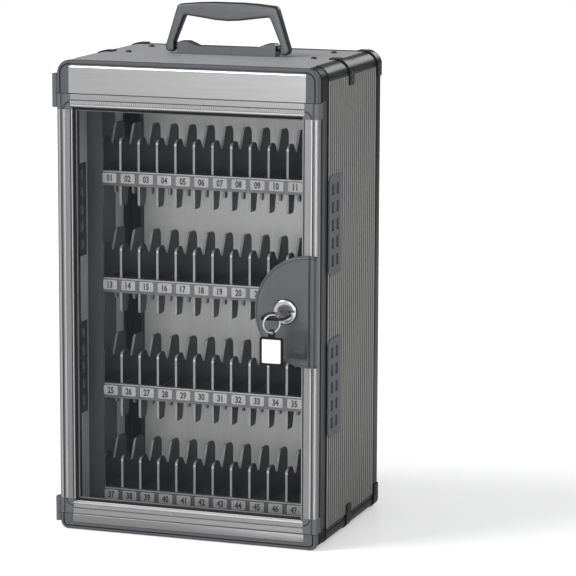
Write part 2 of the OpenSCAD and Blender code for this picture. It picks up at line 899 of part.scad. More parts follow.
// Tag with a shallow window for a paper label, hung on the ring's lowest point
module key_tag() {
    eye_z = ring_z - ring_r;
    top = eye_z - tag_drop;
    color([0.1, 0.1, 0.11]) {
        difference() {
            along_y([ring_y - tag_t / 2, ring_y + tag_t / 2])
                rounded([ring_x - tag_w / 2, ring_x + tag_w / 2], [top - tag_h, top], tag_r, tag_r);
            along_y([ring_y - tag_t / 2 - eps, ring_y - tag_t / 2 + tag_window_d])
                rounded([ring_x - tag_w / 2 + tag_window_in, ring_x + tag_w / 2 - tag_window_in],
                    [top - tag_h + tag_window_in, top - tag_window_in], 1, 1);
        }
        difference() {
            union() {
                rod_y(ring_x, eye_z, eyelet_r, [ring_y - eyelet_t / 2, ring_y + eyelet_t / 2]);
                block([ring_x - eyelet_r, ring_x + eyelet_r],
                    [ring_y - eyelet_t / 2, ring_y + eyelet_t / 2], [top - 1, eye_z]);
            }
            rod_y(ring_x, eye_z, eyelet_hole_r, [ring_y - tag_t, ring_y + tag_t]);
        }
    }
}

// ---------------------------------------------------------------- handle

// Base with a raised ear at each end
module handle_base() {
    end = base_w / 2;
    right = [[end, 0], [end, base_ear_h - 2], [end - 2, base_ear_h],
        [end - base_ear, base_ear_h], [end - base_ear - base_slope, base_h]];
    color(gunmetal) difference() {
        translate([handle_x, 0, body_h])
            along_y([handle_y - base_t / 2, handle_y + base_t / 2]) polygon(mirrored(right));
        for (s = [-1, 1])
            translate([handle_x + s * (pin_in + end) / 2, handle_y, pivot_z]) rotate([0, 90, 0])
                cylinder(r = pivot_pin_r, h = end - pin_in + 0.01, center = true);
    }
}

module handle_pins() {
    color(silver) for (s = [-1, 1])
        translate([handle_x + s * (pin_in + pin_out) / 2, handle_y, pivot_z]) rotate([0, 90, 0])
            cylinder(r = pivot_pin_r, h = pin_out - pin_in, center = true);
}

// Front view of the handle, from its pivot line: splayed legs under a crowned grip
module handle_outline() {
    out = handle_w / 2;
    rise = handle_h - (pivot_z - body_h);
    grip = out - 13;
    outer = concat(
        [[out - foot_r, -foot_turn_r - 1]],
        arc([out - foot_r, 0], foot_r, -60, 0, 4),
        arc([grip - 5, rise - 8], 5, 10, 75, 4),
        [[grip * 0.5, rise - 1]]);
    inner = concat(
        [[out - foot_w, -foot_turn_r], [out - foot_w, ear_clear]],
        arc([out - 26.5, rise - 21], 3, 10, 90, 4),
        [[grip * 0.5, rise - 20]]);
    difference() {
        polygon(mirrored(concat(outer, [[0, rise]])));
        polygon(mirrored(concat([[out - foot_w, -foot_turn_r - 2]], inner,
            [[0, rise - 20.6]])));
    }
}
module carry_handle() {
    half = handle_t / 2;
    end = base_w / 2;
    color(gunmetal) difference() {
        intersection() {
            translate([handle_x, handle_y, pivot_z])
                along_y([-half, half]) handle_outline();
            along_x([handle_x - handle_w, handle_x + handle_w])
                rounded([handle_y - half, handle_y + half],
                    [pivot_z - half, body_h + handle_h + 0.5],
                    foot_turn_r, handle_edge_r);
        }
        for (s = [-1, 1])
            translate([handle_x + s * (end + pin_out + 0.5) / 2, handle_y, pivot_z])
                rotate([0, 90, 0])
                cylinder(r = pivot_pin_r + pivot_play, h = pin_out + 0.5 - end, center = true);
    }
}

// ---------------------------------------------------------------- assembly

header_rail();
front_trims();
sill_rail();
front_post_left();
front_post_right();
corner_top_left();
corner_top_right();
corner_bottom_left();
corner_bottom_right();
edge_profile_top_left();
edge_profile_top_right();
edge_profile_bottom_left();
edge_profile_bottom_right();
rear_rail_top();
rear_rail_bottom();
rear_post_left();
rear_post_right();
top_panel();
bottom_panel();
back_panel();
side_panel_left();
side_panel_right();
edge_clips();
clip_rivets();
vent_plates();
top_screws();
handle_backing_plate();
rack_upright_left();
rack_upright_right();
rack_shelf_1();
rack_shelf_2();
rack_shelf_3();
rack_shelf_4();
slot_dividers_1();
slot_dividers_2();
slot_dividers_3();
slot_dividers_4();
number_strips();
hinge_brackets();
handle_base();
handle_pins();
door_rail_top();
door_rail_bottom();
door_stile_hinge();
door_stile_lock();
door_corners();
door_pane();
door_gasket();
hinge_knuckles();
hinge_pins();
lock_plate();
lock_housing();
lock_nut();
lock_plug();
lock_cam();
key();
key_ring();
key_tag();
carry_handle();
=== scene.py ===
"""Looks of a cell phone locker box, over the CAD frame that it shares.

Every shape is built in millimetres in the row frame: +Z up, the door faces -Y,
and +X is the lock side. Each sub-assembly is a class whose sizes are its fields.
"""
import logging
import math
from dataclasses import dataclass
from enum import Enum
from typing import Callable, Optional, Sequence, Union

import bmesh
import bpy
import numpy as np
from mathutils import Matrix, Vector


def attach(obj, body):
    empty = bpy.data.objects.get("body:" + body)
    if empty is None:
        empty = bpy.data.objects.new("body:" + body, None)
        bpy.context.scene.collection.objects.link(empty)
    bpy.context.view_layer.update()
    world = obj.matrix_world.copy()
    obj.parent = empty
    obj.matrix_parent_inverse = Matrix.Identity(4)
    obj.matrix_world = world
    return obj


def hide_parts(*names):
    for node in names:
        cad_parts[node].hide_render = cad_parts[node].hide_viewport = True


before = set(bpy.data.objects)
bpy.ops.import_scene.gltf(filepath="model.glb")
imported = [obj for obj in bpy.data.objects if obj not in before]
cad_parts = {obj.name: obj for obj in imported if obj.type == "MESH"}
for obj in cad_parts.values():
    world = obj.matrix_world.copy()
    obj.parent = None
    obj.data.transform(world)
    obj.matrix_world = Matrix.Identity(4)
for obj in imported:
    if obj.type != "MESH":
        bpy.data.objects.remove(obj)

logging.basicConfig(level=logging.INFO, format="%(message)s")
log = logging.getLogger("locker")

MM = 0.001
FRONT, REAR = -107.0, 107.0
HALF_W, HEIGHT = 145.0, 505.0
SEAM_LOW, SEAM_TOP = 17.0, 470.0
DOOR_LOW, DOOR_TOP = 17.6, 469.4
FRAME_DEPTH = 33.0
TIERS, SLOTS = 4, 12
TIER_PITCH, SLOT_PITCH, RACK_BASE = 116.5, 21.1, 30.0
RACK_Y = FRONT + 74.0
LOCK_X, LOCK_Z = 111.2, 253.5
SHARP = math.radians(32)

Colour = tuple[float, float, float]
Number = Union[float, "Sock"]
Tone = Union[Colour, "Sock"]


# ---- shapes

class Axis(Enum):
    """Direction that an outline is extruded along."""
    X = "x"
    Y = "y"
    Z = "z"


@dataclass
class Shape:
    """Vertices in millimetres, quads over them, and caps with any number of corners."""
    verts: np.ndarray
    quads: np.ndarray
    caps: list

    def __add__(self, other: "Shape") -> "Shape":
        """Both shapes as one.

        Args:
            other: the shape whose vertices, quads and caps come last.
        Returns:
            The joined shape.
        """
        shift = len(self.verts)
        return Shape(np.vstack([self.verts, other.verts]),
                     np.vstack([self.quads, other.quads + shift]),
                     self.caps + [cap + shift for cap in other.caps])

    def moved(self, x: float = 0, y: float = 0, z: float = 0) -> "Shape":
        """The same shape with (x, y, z) added to each vertex."""
        return Shape(self.verts + np.array([x, y, z]), self.quads, self.caps)

    def mirrored(self) -> "Shape":
        """The shape on the other side: x becomes -x."""
        return Shape(self.verts * np.array([-1.0, 1.0, 1.0]), self.quads, self.caps)

    def both(self) -> "Shape":
        """The shape and its mirror image."""
        return self + self.mirrored()


def join(shapes: Sequence[Shape]) -> Shape:
    """All shapes as one, in order.

    Args:
        shapes: one shape or more.
    Returns:
        The joined shape.
    """
    total = shapes[0]
    for shape in shapes[1:]:
        total = total + shape
    return total


def loft(rings: np.ndarray, closed: bool = False) -> Shape:
    """Skin over rings of equal length.

    Vertex (i, j) joins (i, j+1), (i+1, j+1) and (i+1, j), with j wrapped round the ring.

    Args:
        rings: array of shape (rings, points, 3).
        closed: whether the last ring joins the first; otherwise both ends are capped.
    Returns:
        The closed skin.
    """
    count, points = rings.shape[:2]
    index = np.arange(count * points).reshape(count, points)
    low = index if closed else index[:-1]
    high = np.roll(index, -1, axis=0) if closed else index[1:]
    quads = np.stack([low, np.roll(low, -1, axis=1), np.roll(high, -1, axis=1), high], axis=-1)
    caps = [] if closed else [index[0][::-1], index[-1]]
    return Shape(rings.reshape(-1, 3).astype(float), quads.reshape(-1, 4), caps)


def inset(outline: np.ndarray, distance: float) -> np.ndarray:
    """Outline drawn in by a distance.

    Each corner moves by d (n1 + n2) / (1 + n1.n2), where n1 and n2 are the inward
    normals of its two edges, so both edges shift inwards by d.

    Args:
        outline: corners in order, an array of shape (n, 2).
        distance: how far inwards, in millimetres.
    Returns:
        The new corners, in the same order.
    """
    before = outline - np.roll(outline, 1, axis=0)
    after = np.roll(outline, -1, axis=0) - outline
    area = np.sum(outline[:, 0] * np.roll(outline[:, 1], -1)
                  - np.roll(outline[:, 0], -1) * outline[:, 1])
    normals = []
    for edge in (before, after):
        unit = edge / np.linalg.norm(edge, axis=1, keepdims=True)
        normals.append(np.sign(area) * np.stack([-unit[:, 1], unit[:, 0]], axis=1))
    dot = np.sum(normals[0] * normals[1], axis=1, keepdims=True)
    return outline + distance * (normals[0] + normals[1]) / (1 + dot)


def place(outline: np.ndarray, level: float, axis: Axis) -> np.ndarray:
    """2-D outline as 3-D points at a level along an axis; the other two axes keep their order.

    Args:
        outline: corners in order, an array of shape (n, 2).
        level: where the points lie along the axis.
        axis: the axis that the outline has none of.
    Returns:
        The points, an array of shape (n, 3).
    """
    flat = np.full(len(outline), level)
    order = {Axis.X: (flat, outline[:, 0], outline[:, 1]),
             Axis.Y: (outline[:, 0], flat, outline[:, 1]),
             Axis.Z: (outline[:, 0], outline[:, 1], flat)}[axis]
    return np.stack(order, axis=1)


def extrude(outline: Sequence, axis: Axis, start: float, end: float,
            soft: float = 0.0, steps: int = 3) -> Shape:
    """Outline extruded between two levels, with its end edges rounded.

    The rounding at angle a has an inset of soft (1 - cos a) and lies soft (1 - sin a)
    from the end face.

    Args:
        outline: corners in order.
        axis: direction of the extrusion.
        start: level of the first end face.
        end: level of the last end face.
        soft: radius of the rounding; 0 leaves the edges sharp.
        steps: steps across the rounding.
    Returns:
        The closed shape.
    """
    flat = np.asarray(outline, float)
    if soft <= 0:
        return loft(np.stack([place(flat, start, axis), place(flat, end, axis)]))
    turns = np.linspace(math.pi / 2, 0, steps + 1)
    low = [place(inset(flat, soft * (1 - math.cos(t))), start + soft * (1 - math.sin(t)), axis)
           for t in turns]
    high = [place(inset(flat, soft * (1 - math.cos(t))), end - soft * (1 - math.sin(t)), axis)
            for t in turns[::-1]]
    return loft(np.stack(low + high))


def arc(centre: tuple, radius: float, start: float, end: float, steps: int = 8) -> np.ndarray:
    """Points c + r (cos a, sin a) for a from start to end, in degrees."""
    turn = np.radians(np.linspace(start, end, steps + 1))
    return np.array(centre) + radius * np.stack([np.cos(turn), np.sin(turn)], axis=1)


def rounded(x: tuple, z: tuple, radius: float, steps: int = 5) -> np.ndarray:
    """Rectangle between two spans, with an arc of the radius at each corner.

    Args:
        x: lowest and highest x.
        z: lowest and highest z.
        radius: radius at the corners.
        steps: steps on each arc.
    Returns:
        The outline, an array of shape (n, 2).
    """
    left, right, low, high = x[0] + radius, x[1] - radius, z[0] + radius, z[1] - radius
    centres = ((right, low), (right, high), (left, high), (left, low))
    return np.vstack([arc(centre, radius, 90 * k - 90, 90 * k, steps)
                      for k, centre in enumerate(centres)])


def block(x: tuple, y: tuple, z: tuple, soft: float = 0.4) -> Shape:
    """Box between three spans with rounded edges, along its vertical axis."""
    return extrude(rounded(x, y, soft, 3), Axis.Z, z[0], z[1], soft)


def sweep(profile: Sequence, stations: np.ndarray) -> Shape:
    """Closed profile carried along a path in the XZ plane.

    A profile point (u, y) at the station (x, z, nx, nz) lies at
    (x + u nx, FRONT + y, z + u nz), so u counts inwards from the path.

    Args:
        profile: points (u, y) of the closed profile, in order.
        stations: rows of x, z, nx and nz, where (nx, nz) is the inward normal.
    Returns:
        The skin, capped at both ends.
    """
    cut = np.asarray(profile, float)
    u, y = cut[None, :, 0], cut[None, :, 1]
    x, z, nx, nz = (stations[:, k][:, None] for k in range(4))
    rings = np.stack([x + u * nx, FRONT + y + 0 * x, z + u * nz], axis=-1)
    return loft(rings)


def relief(xs: np.ndarray, zs: np.ndarray, depth: Callable, back: float) -> Shape:
    """Block with a flat back, whose front face lies depth(x, z) behind FRONT.

    Args:
        xs: columns of the grid.
        zs: rows of the grid.
        depth: function of the grid's x and z arrays.
        back: how far the flat back lies behind FRONT.
    Returns:
        The closed shape.
    """
    gx, gz = np.meshgrid(xs, zs)
    front = np.stack([gx, FRONT + depth(gx, gz), gz], axis=-1)
    index = np.arange(gx.size).reshape(gx.shape)
    quads = np.stack([index[:-1, :-1], index[:-1, 1:], index[1:, 1:], index[1:, :-1]], axis=-1)
    rim = np.concatenate([index[0, :-1], index[:-1, -1], index[-1, :0:-1], index[:0:-1, 0]])
    verts = front.reshape(-1, 3)
    behind = verts[rim] * np.array([1.0, 0.0, 1.0]) + np.array([0.0, FRONT + back, 0.0])
    ring = len(verts) + np.arange(len(rim))
    sides = np.stack([rim, np.roll(rim, -1), np.roll(ring, -1), ring], axis=-1)
    return Shape(np.vstack([verts, behind]),
                 np.vstack([quads.reshape(-1, 4), sides]), [ring])


def groove(where: np.ndarray, low: float, high: float, depth: float, flank: float = 0.35
           ) -> np.ndarray:
    """Depth of a groove from low to high, which falls to 0 over the flanks on both sides.

    Args:
        where: places across the groove.
        low: start of its floor.
        high: end of its floor.
        depth: depth of its floor.
        flank: width of each side.
    Returns:
        The depth at each place.
    """
    rise = np.clip((where - low + flank) / flank, 0, 1)
    fall = np.clip((high + flank - where) / flank, 0, 1)
    return depth * np.minimum(rise, fall)


def smooth(t: np.ndarray) -> np.ndarray:
    """3 t^2 - 2 t^3 of t held between 0 and 1."""
    t = np.clip(t, 0, 1)
    return t * t * (3 - 2 * t)


# ---- node graphs

def operator(kind: str, swapped: bool = False) -> Callable:
    """Arithmetic method that adds a Math node; a reflected form has its operands swapped.

    Args:
        kind: the Math node's operation.
        swapped: whether the method is the reflected form.
    Returns:
        The method.
    """
    def method(self: "Sock", other: Number) -> "Sock":
        """Adds the node for this operation."""
        pair = (other, self) if swapped else (self, other)
        return self.graph.math(kind, *pair)
    return method


class Sock:
    """Output socket with arithmetic; the other operand may be a number or a socket."""
    __add__, __radd__ = operator("ADD"), operator("ADD", True)
    __sub__, __rsub__ = operator("SUBTRACT"), operator("SUBTRACT", True)
    __mul__, __rmul__ = operator("MULTIPLY"), operator("MULTIPLY", True)
    __mod__, __rmod__ = operator("FLOORED_MODULO"), operator("FLOORED_MODULO", True)

    def __init__(self, graph: "Graph", out: bpy.types.NodeSocket) -> None:
        """Wraps an output of one of a graph's nodes."""
        self.graph, self.out = graph, out

    def __abs__(self) -> "Sock":
        """Absolute value."""
        return self.graph.math("ABSOLUTE", self, 0.0)

    def above(self, low: float, high: float) -> "Sock":
        """0 below low, 1 above high, and a smooth step between.

        Args:
            low: value up to which the result is 0.
            high: value from which the result is 1.
        Returns:
            The step.
        """
        made = self.graph.node("ShaderNodeMapRange", {"interpolation_type": "SMOOTHSTEP"},
                               {"Value": self, "From Min": low, "From Max": high})
        return self.graph.out(made)

    def between(self, low: float, high: float, edge: float) -> "Sock":
        """1 between low and high, falling to 0 over the edge on both sides."""
        return self.above(low - edge, low) * (1.0 - self.above(high, high + edge))


class Graph:
    """Shader nodes of one material or world."""

    def __init__(self, tree: bpy.types.NodeTree) -> None:
        """Takes over a node tree and empties it.

        Args:
            tree: the material's or the world's tree.
        """
        self.tree = tree
        tree.nodes.clear()
        self._where: Optional[Sock] = None

    def node(self, kind: str, settings: Optional[dict] = None,
             inputs: Optional[dict] = None) -> bpy.types.Node:
        """Adds a node.

        Args:
            kind: the node's type name.
            settings: its properties.
            inputs: values or sockets by input name or number.
        Returns:
            The node.
        """
        made = self.tree.nodes.new(kind)
        for name, value in (settings or {}).items():
            setattr(made, name, value)
        for name, value in (inputs or {}).items():
            if isinstance(value, Sock):
                self.tree.links.new(value.out, made.inputs[name])
            else:
                made.inputs[name].default_value = value
        return made

    def out(self, made: bpy.types.Node, name: Union[str, int] = 0) -> Sock:
        """One output of a node, by name or number."""
        return Sock(self, made.outputs[name])

    def math(self, operation: str, a: Number, b: Number) -> Sock:
        """Math node of two operands."""
        return self.out(self.node("ShaderNodeMath", {"operation": operation}, {0: a, 1: b}))

    def where(self) -> Sock:
        """Object coordinates, in metres.

        Returns:
            The vector, from one node that all callers share.
        """
        if self._where is None:
            self._where = self.out(self.node("ShaderNodeTexCoord"), "Object")
        return self._where

    def axis(self, vector: Sock, name: str) -> Sock:
        """One component of a vector, by its letter."""
        return self.out(self.node("ShaderNodeSeparateXYZ", inputs={0: vector}), name)

    def at(self, letter: str) -> Sock:
        """One object coordinate, in millimetres."""
        return self.axis(self.where(), letter) * (1 / MM)

    def tier_height(self) -> Sock:
        """Height above the base of the rack that the point belongs to, in millimetres."""
        return (self.at("Z") - RACK_BASE) % TIER_PITCH

    def facing(self) -> Sock:
        """How far the surface's own normal points along +Y, from -1 to 1."""
        return self.axis(self.out(self.node("ShaderNodeTexCoord"), "Normal"), "Y")

    def scaled(self, vector: Sock, scale: Colour) -> Sock:
        """Vector times a fixed vector, component by component.

        Args:
            vector: the vector.
            scale: factors for its X, Y and Z.
        Returns:
            The product.
        """
        made = self.node("ShaderNodeVectorMath", {"operation": "MULTIPLY"},
                         {0: vector, 1: scale})
        return self.out(made)

    def noise(self, vector: Sock, scale: float, detail: float = 2.0, rough: float = 0.5) -> Sock:
        """Noise between 0 and 1."""
        return self.out(self.node("ShaderNodeTexNoise", inputs={
            "Vector": vector, "Scale": scale, "Detail": detail, "Roughness": rough}), 0)

    def mix(self, factor: Number, a: Tone, b: Tone) -> Sock:
        """Colour a where the factor is 0 and b where it is 1.

        Args:
            factor: how much of b.
            a: first colour.
            b: second colour.
        Returns:
            The mixed colour.
        """
        inputs = {0: factor, 6: a if isinstance(a, Sock) else (*a, 1.0),
                  7: b if isinstance(b, Sock) else (*b, 1.0)}
        return self.out(self.node("ShaderNodeMix", {"data_type": "RGBA"}, inputs), 2)

    def crevice(self, reach: float, hidden_from: float = 0.12, hidden_full: float = 0.42) -> Sock:
        """1 deep in the piece's own grooves and inner corners, 0 where it is open.

        Args:
            reach: how far the piece is looked for, in millimetres.
            hidden_from: share of the view that has to be hidden before anything shows.
            hidden_full: share from which the crevice counts in full.
        Returns:
            The mask.
        """
        hidden = self.node("ShaderNodeAmbientOcclusion", {"samples": 8, "only_local": True},
                           {"Distance": reach * MM})
        return (1.0 - self.out(hidden, "AO")).above(hidden_from, hidden_full)

    def bump(self, height: Sock, strength: float, distance: float) -> Sock:
        """Normal bent by a height."""
        return self.out(self.node("ShaderNodeBump", inputs={
            "Height": height, "Strength": strength, "Distance": distance}), "Normal")


def shade(colour: Colour, factor: float) -> Colour:
    """Colour times a factor."""
    return tuple(min(1.0, c * factor) for c in colour)


@dataclass(frozen=True)
class Finish:
    """Base of the finishes.

    slot is the record's material slot, is empty for the studio, and is not used. sheen is the
    specular level. The crevice shade field sets how much painted shade darkens the crevices, and
    reach how far they are looked for.
    """
    name: str
    slot: str
    base: Colour
    roughness: float = 0.45
    metallic: float = 0.0
    coat: float = 0.0
    sheen: float = 0.5
    # painted shade: how far the crevices darken
    crevice_shade: float = 0.0
    reach: float = 2.0

    def paint(self, g: Graph) -> dict:
        """Inputs of the Principled shader that this finish varies or sets."""
        raise NotImplementedError

    def tint(self, g: Graph, colour: Sock) -> Sock:
        """Last change to the colour before the painted crevice shade; a plain finish has none."""
        return colour

    def material(self) -> bpy.types.Material:
        """The finish's material, made once.

        Returns:
            The material.
        """
        title = f"finish_{self.name}"
        if title in bpy.data.materials:
            return bpy.data.materials[title]
        made = bpy.data.materials.new(title)
        made.use_nodes = True
        g = Graph(made.node_tree)
        inputs = {"Metallic": self.metallic, "Coat Weight": self.coat, "Coat Roughness": 0.12,
                  "Specular IOR Level": self.sheen, **self.paint(g)}
        colour = self.tint(g, inputs["Base Color"])
        # Painted shade: crevices found by local occlusion darken towards a near-black of the base
        # colour.
        if self.crevice_shade > 0:
            colour = g.mix(g.crevice(self.reach) * self.crevice_shade, colour, shade(self.base, 0.08))
        inputs["Base Color"] = colour
        shader = g.node("ShaderNodeBsdfPrincipled", inputs=inputs)
        g.node("ShaderNodeOutputMaterial", inputs={"Surface": g.out(shader)})
        return made


@dataclass(frozen=True)
class BrushedMetal(Finish):
    """Satin metal with fine streaks: noise stretched along the grain."""
    grain: Colour = (5.0, 420.0, 420.0)
    contrast: float = 0.10
    spread: float = 0.14

    def paint(self, g: Graph) -> dict:
        """Streaks along the grain, with a few smudges.

        Args:
            g: the material's graph.
        Returns:
            Inputs of the shader.
        """
        streaks = g.noise(g.scaled(g.where(), self.grain), 1.0, 4.0, 0.6)
        smudge = g.noise(g.where(), 11.0, 3.0)
        colour = g.mix(streaks, shade(self.base, 1 - self.contrast),
                       shade(self.base, 1 + self.contrast))
        colour = g.mix(smudge.above(0.5, 0.8) * 0.2, colour, shade(self.base, 0.8))
        rough = (streaks - 0.5) * self.spread + smudge * 0.08 + self.roughness
        return {"Base Color": colour, "Roughness": rough,
                "Normal": g.bump(streaks, 0.2, 0.00003)}


@dataclass(frozen=True)
class RibbedMetal(BrushedMetal):
    """Brushed metal with painted shade in the channels between the ribs' crests, and painted light
    on its inner face.
    """
    crest: float = HALF_W - 0.25
    lining: float = HALF_W - 2.2
    # painted shade in the channels
    channel_shade: Colour = (0.002, 0.002, 0.002)
    # painted light on the inner face
    inside: Colour = (0.85, 0.85, 0.86)

    def tint(self, g: Graph, colour: Sock) -> Sock:
        """Painted shade: colour mixed towards a near-black short of the crest in |x|; painted
        light: mixed towards a pale colour on the inner face.

        Args:
            g: the material's graph.
            colour: the colour so far.
        Returns:
            The changed colour.
        """
        out = abs(g.at("X"))
        colour = g.mix(out.above(self.crest - 0.4, self.crest), self.channel_shade, colour)
        return g.mix(out.above(self.lining - 0.5, self.lining), self.inside, colour)


@dataclass(frozen=True)
class FlutedMetal(BrushedMetal):
    """Brushed profile with a painted highlight along its ridges."""
    along: str = "X"
    ridges: tuple = ()
    # painted highlight colour of the ridges
    painted_highlight: Colour = (0.33, 0.33, 0.335)

    def tint(self, g: Graph, colour: Sock) -> Sock:
        """Painted highlight: colour mixed towards a pale colour inside each ridge's span of
        |along|.

        Args:
            g: the material's graph.
            colour: the colour so far.
        Returns:
            The changed colour.
        """
        spot = abs(g.at(self.along))
        for low, high in self.ridges:
            colour = g.mix(spot.between(low, high, 0.3), colour, self.painted_highlight)
        return colour


@dataclass(frozen=True)
class StripMetal(BrushedMetal):
    """Sheet of the number strips, with a painted highlight along its folded top edge."""
    lip: float = 1.3
    # painted highlight colour of the top edge
    painted_highlight: Colour = (0.62, 0.62, 0.63)

    def tint(self, g: Graph, colour: Sock) -> Sock:
        """Painted highlight: colour mixed towards a pale colour within lip of each strip's top
        edge.
        """
        start = TIER_PITCH - self.lip
        return g.mix(g.tier_height().above(start, start + 0.4), colour, self.painted_highlight)


@dataclass(frozen=True)
class MouldedPlastic(Finish):
    """Moulded surface: fine spark-eroded grain, faint mottling and handling marks."""
    grain: float = 1500.0
    depth: float = 0.00005

    def paint(self, g: Graph) -> dict:
        """Fine grain, mottling and handling marks.

        Args:
            g: the material's graph.
        Returns:
            Inputs of the shader.
        """
        grain = g.noise(g.where(), self.grain, 2.0)
        mottle = g.noise(g.where(), 45.0, 3.0)
        marks = g.noise(g.where(), 8.0, 4.0).above(0.52, 0.75)
        colour = g.mix(mottle, shade(self.base, 0.92), shade(self.base, 1.08))
        colour = g.mix(grain.above(0.45, 0.7) * 0.10, colour, shade(self.base, 1.4))
        rough = (grain - 0.5) * 0.10 + marks * 0.07 + self.roughness
        return {"Base Color": colour, "Roughness": rough,
                "Normal": g.bump(grain, 0.35, self.depth)}


@dataclass(frozen=True)
class GripPlastic(MouldedPlastic):
    """Plastic with painted shade where its surface turns away from the Y axis, which leaves its
    flat faces lighter.
    """
    # painted shade where the surface turns away from the Y axis
    turned: Colour = (0.012, 0.012, 0.013)

    def tint(self, g: Graph, colour: Sock) -> Sock:
        """Painted shade: colour mixed towards a near-black where the normal leaves the Y axis."""
        return g.mix(abs(g.facing()).above(0.62, 0.97), self.turned, colour)


@dataclass(frozen=True)
class PlatePlastic(MouldedPlastic):
    """Lock plate with painted shade round the cylinder, in the finger recess and in the edge's
    flutes.
    """
    # painted shade colour
    painted_shade: Colour = (0.010, 0.010, 0.011)
    collar: float = 14.0
    recess_x: tuple = (113.5, 135.0)
    recess_z: tuple = (205.5, 243.0)
    flutes: tuple = ((136.7, 137.7), (142.6, 143.6))

    def tint(self, g: Graph, colour: Sock) -> Sock:
        """Painted shade: colour mixed towards a near-black by position across the plate's face.

        Args:
            g: the material's graph.
            colour: the colour so far.
        Returns:
            The changed colour.
        """
        x, z = g.at("X"), g.at("Z")
        dx, dz = x - LOCK_X, z - LOCK_Z
        reach = g.math("SQRT", dx * dx + dz * dz, 0.0)
        collar = 1.0 - reach.above(self.collar - 0.9, self.collar)
        bottom, top = self.recess_z
        recess = x.between(*self.recess_x, 3.0) * z.between(bottom, top - 12.0, 6.0)
        low = 1.0 - z.above(bottom + 2.0, bottom + 14.0)
        flutes = g.math("MAXIMUM", *(x.between(*span, 0.6) for span in self.flutes))
        # Painted shade round the cylinder, in the flutes, and in the recess, more so towards its
        # bottom.
        deep = g.math("MAXIMUM", collar, flutes * 0.75)
        deep = g.math("MAXIMUM", deep, recess * (low * 0.3 + 0.25))
        return g.mix(deep, colour, self.painted_shade)


@dataclass(frozen=True)
class FramePlastic(MouldedPlastic):
    """Plastic of the front frame, with painted shade that makes its part behind the rounded rim
    nearly black.
    """
    behind: float = 12.2
    # painted shade behind the rim
    painted_shade: Colour = (0.007, 0.007, 0.008)

    def tint(self, g: Graph, colour: Sock) -> Sock:
        """Painted shade: colour mixed towards a near-black more than the given depth behind FRONT.
        """
        start = FRONT + self.behind
        return g.mix(g.at("Y").above(start - 0.4, start), colour, self.painted_shade)


@dataclass(frozen=True)
class DividerPlastic(MouldedPlastic):
    """Dark plastic with painted light on its front edges and a painted highlight at the front
    prongs' ends; its hanging ends are lighter.
    """
    # painted light on the faces towards -Y
    edge: Colour = (0.50, 0.50, 0.51)
    # painted highlight at the front prongs' ends
    tip_highlight: Colour = (0.95, 0.95, 0.95)
    tip_z: float = 29.5
    prong_y: float = 9.0
    hung: Colour = (0.085, 0.086, 0.09)

    def tint(self, g: Graph, colour: Sock) -> Sock:
        """Painted light: colour mixed towards a pale colour where the surface faces -Y, and a
        painted highlight at the prongs' ends.

        Args:
            g: the material's graph.
            colour: the colour so far.
        Returns:
            The changed colour.
        """
        ahead = g.facing() * -1.0
        height = g.tier_height()
        tip_highlight_mask = height.between(self.tip_z, self.tip_z + 1.6, 0.6)
        near = 1.0 - g.at("Y").above(RACK_Y + self.prong_y, RACK_Y + self.prong_y + 0.5)
        below = height.above(TIER_PITCH - 45.0, TIER_PITCH - 40.0)
        colour = g.mix(below, colour, self.hung)
        # Painted light: faces towards -Y made lighter, as if lit from the front.
        colour = g.mix(ahead.above(0.15, 0.5), colour, self.edge)
        # Painted highlight at the front prongs' ends.
        return g.mix(tip_highlight_mask * near * ahead.above(0.2, 0.5), colour, self.tip_highlight)


@dataclass(frozen=True)
class ClipCoat(MouldedPlastic):
    """Strap finished like the profile it crosses, with black legs and ends."""
    leg: Colour = (0.004, 0.004, 0.004)
    band: float = 16.0
    end_x: float = 124.6

    def tint(self, g: Graph, colour: Sock) -> Sock:
        """Colour mixed towards leg between the two bands, and where |x| is short of end_x.

        Args:
            g: the material's graph.
            colour: the colour so far.
        Returns:
            The changed colour.
        """
        middle = HEIGHT / 2
        band = middle - self.band
        leg = 1.0 - abs(g.at("Z") - middle).above(band - 0.6, band)
        end = 1.0 - abs(g.at("X")).above(self.end_x - 0.2, self.end_x)
        return g.mix(g.math("MAXIMUM", leg, end), colour, self.leg)


@dataclass(frozen=True)
class PowderCoat(Finish):
    """Satin coating over metal: soft orange peel and a little dust in the tone."""
    peel: float = 700.0

    def paint(self, g: Graph) -> dict:
        """Orange peel, and a slow change of tone.

        Args:
            g: the material's graph.
        Returns:
            Inputs of the shader.
        """
        peel = g.noise(g.where(), self.peel, 2.0)
        tone = g.noise(g.where(), 18.0, 3.0)
        colour = g.mix(tone, shade(self.base, 0.93), shade(self.base, 1.07))
        rough = (peel - 0.5) * 0.08 + tone * 0.06 + self.roughness
        return {"Base Color": colour, "Roughness": rough,
                "Normal": g.bump(peel, 0.25, 0.00004)}


@dataclass(frozen=True)
class ClearSheet(Finish):
    """Clear pane: nearly transparent face on, more opaque at a graze, with faint smears."""
    veil: float = 0.07
    graze: float = 0.55

    def paint(self, g: Graph) -> dict:
        """Smears, and an alpha that rises at a graze.

        Args:
            g: the material's graph.
        Returns:
            Inputs of the shader.
        """
        smear = g.noise(g.scaled(g.where(), (30.0, 30.0, 9.0)), 1.0, 4.0)
        fresnel = g.out(g.node("ShaderNodeFresnel", inputs={"IOR": 1.3}))
        colour = g.mix(smear, shade(self.base, 0.8), self.base)
        return {"Base Color": colour, "Roughness": smear * 0.03 + self.roughness,
                "Alpha": fresnel * self.graze + self.veil + smear * 0.01,
                "Normal": g.bump(smear, 0.05, 0.00002)}


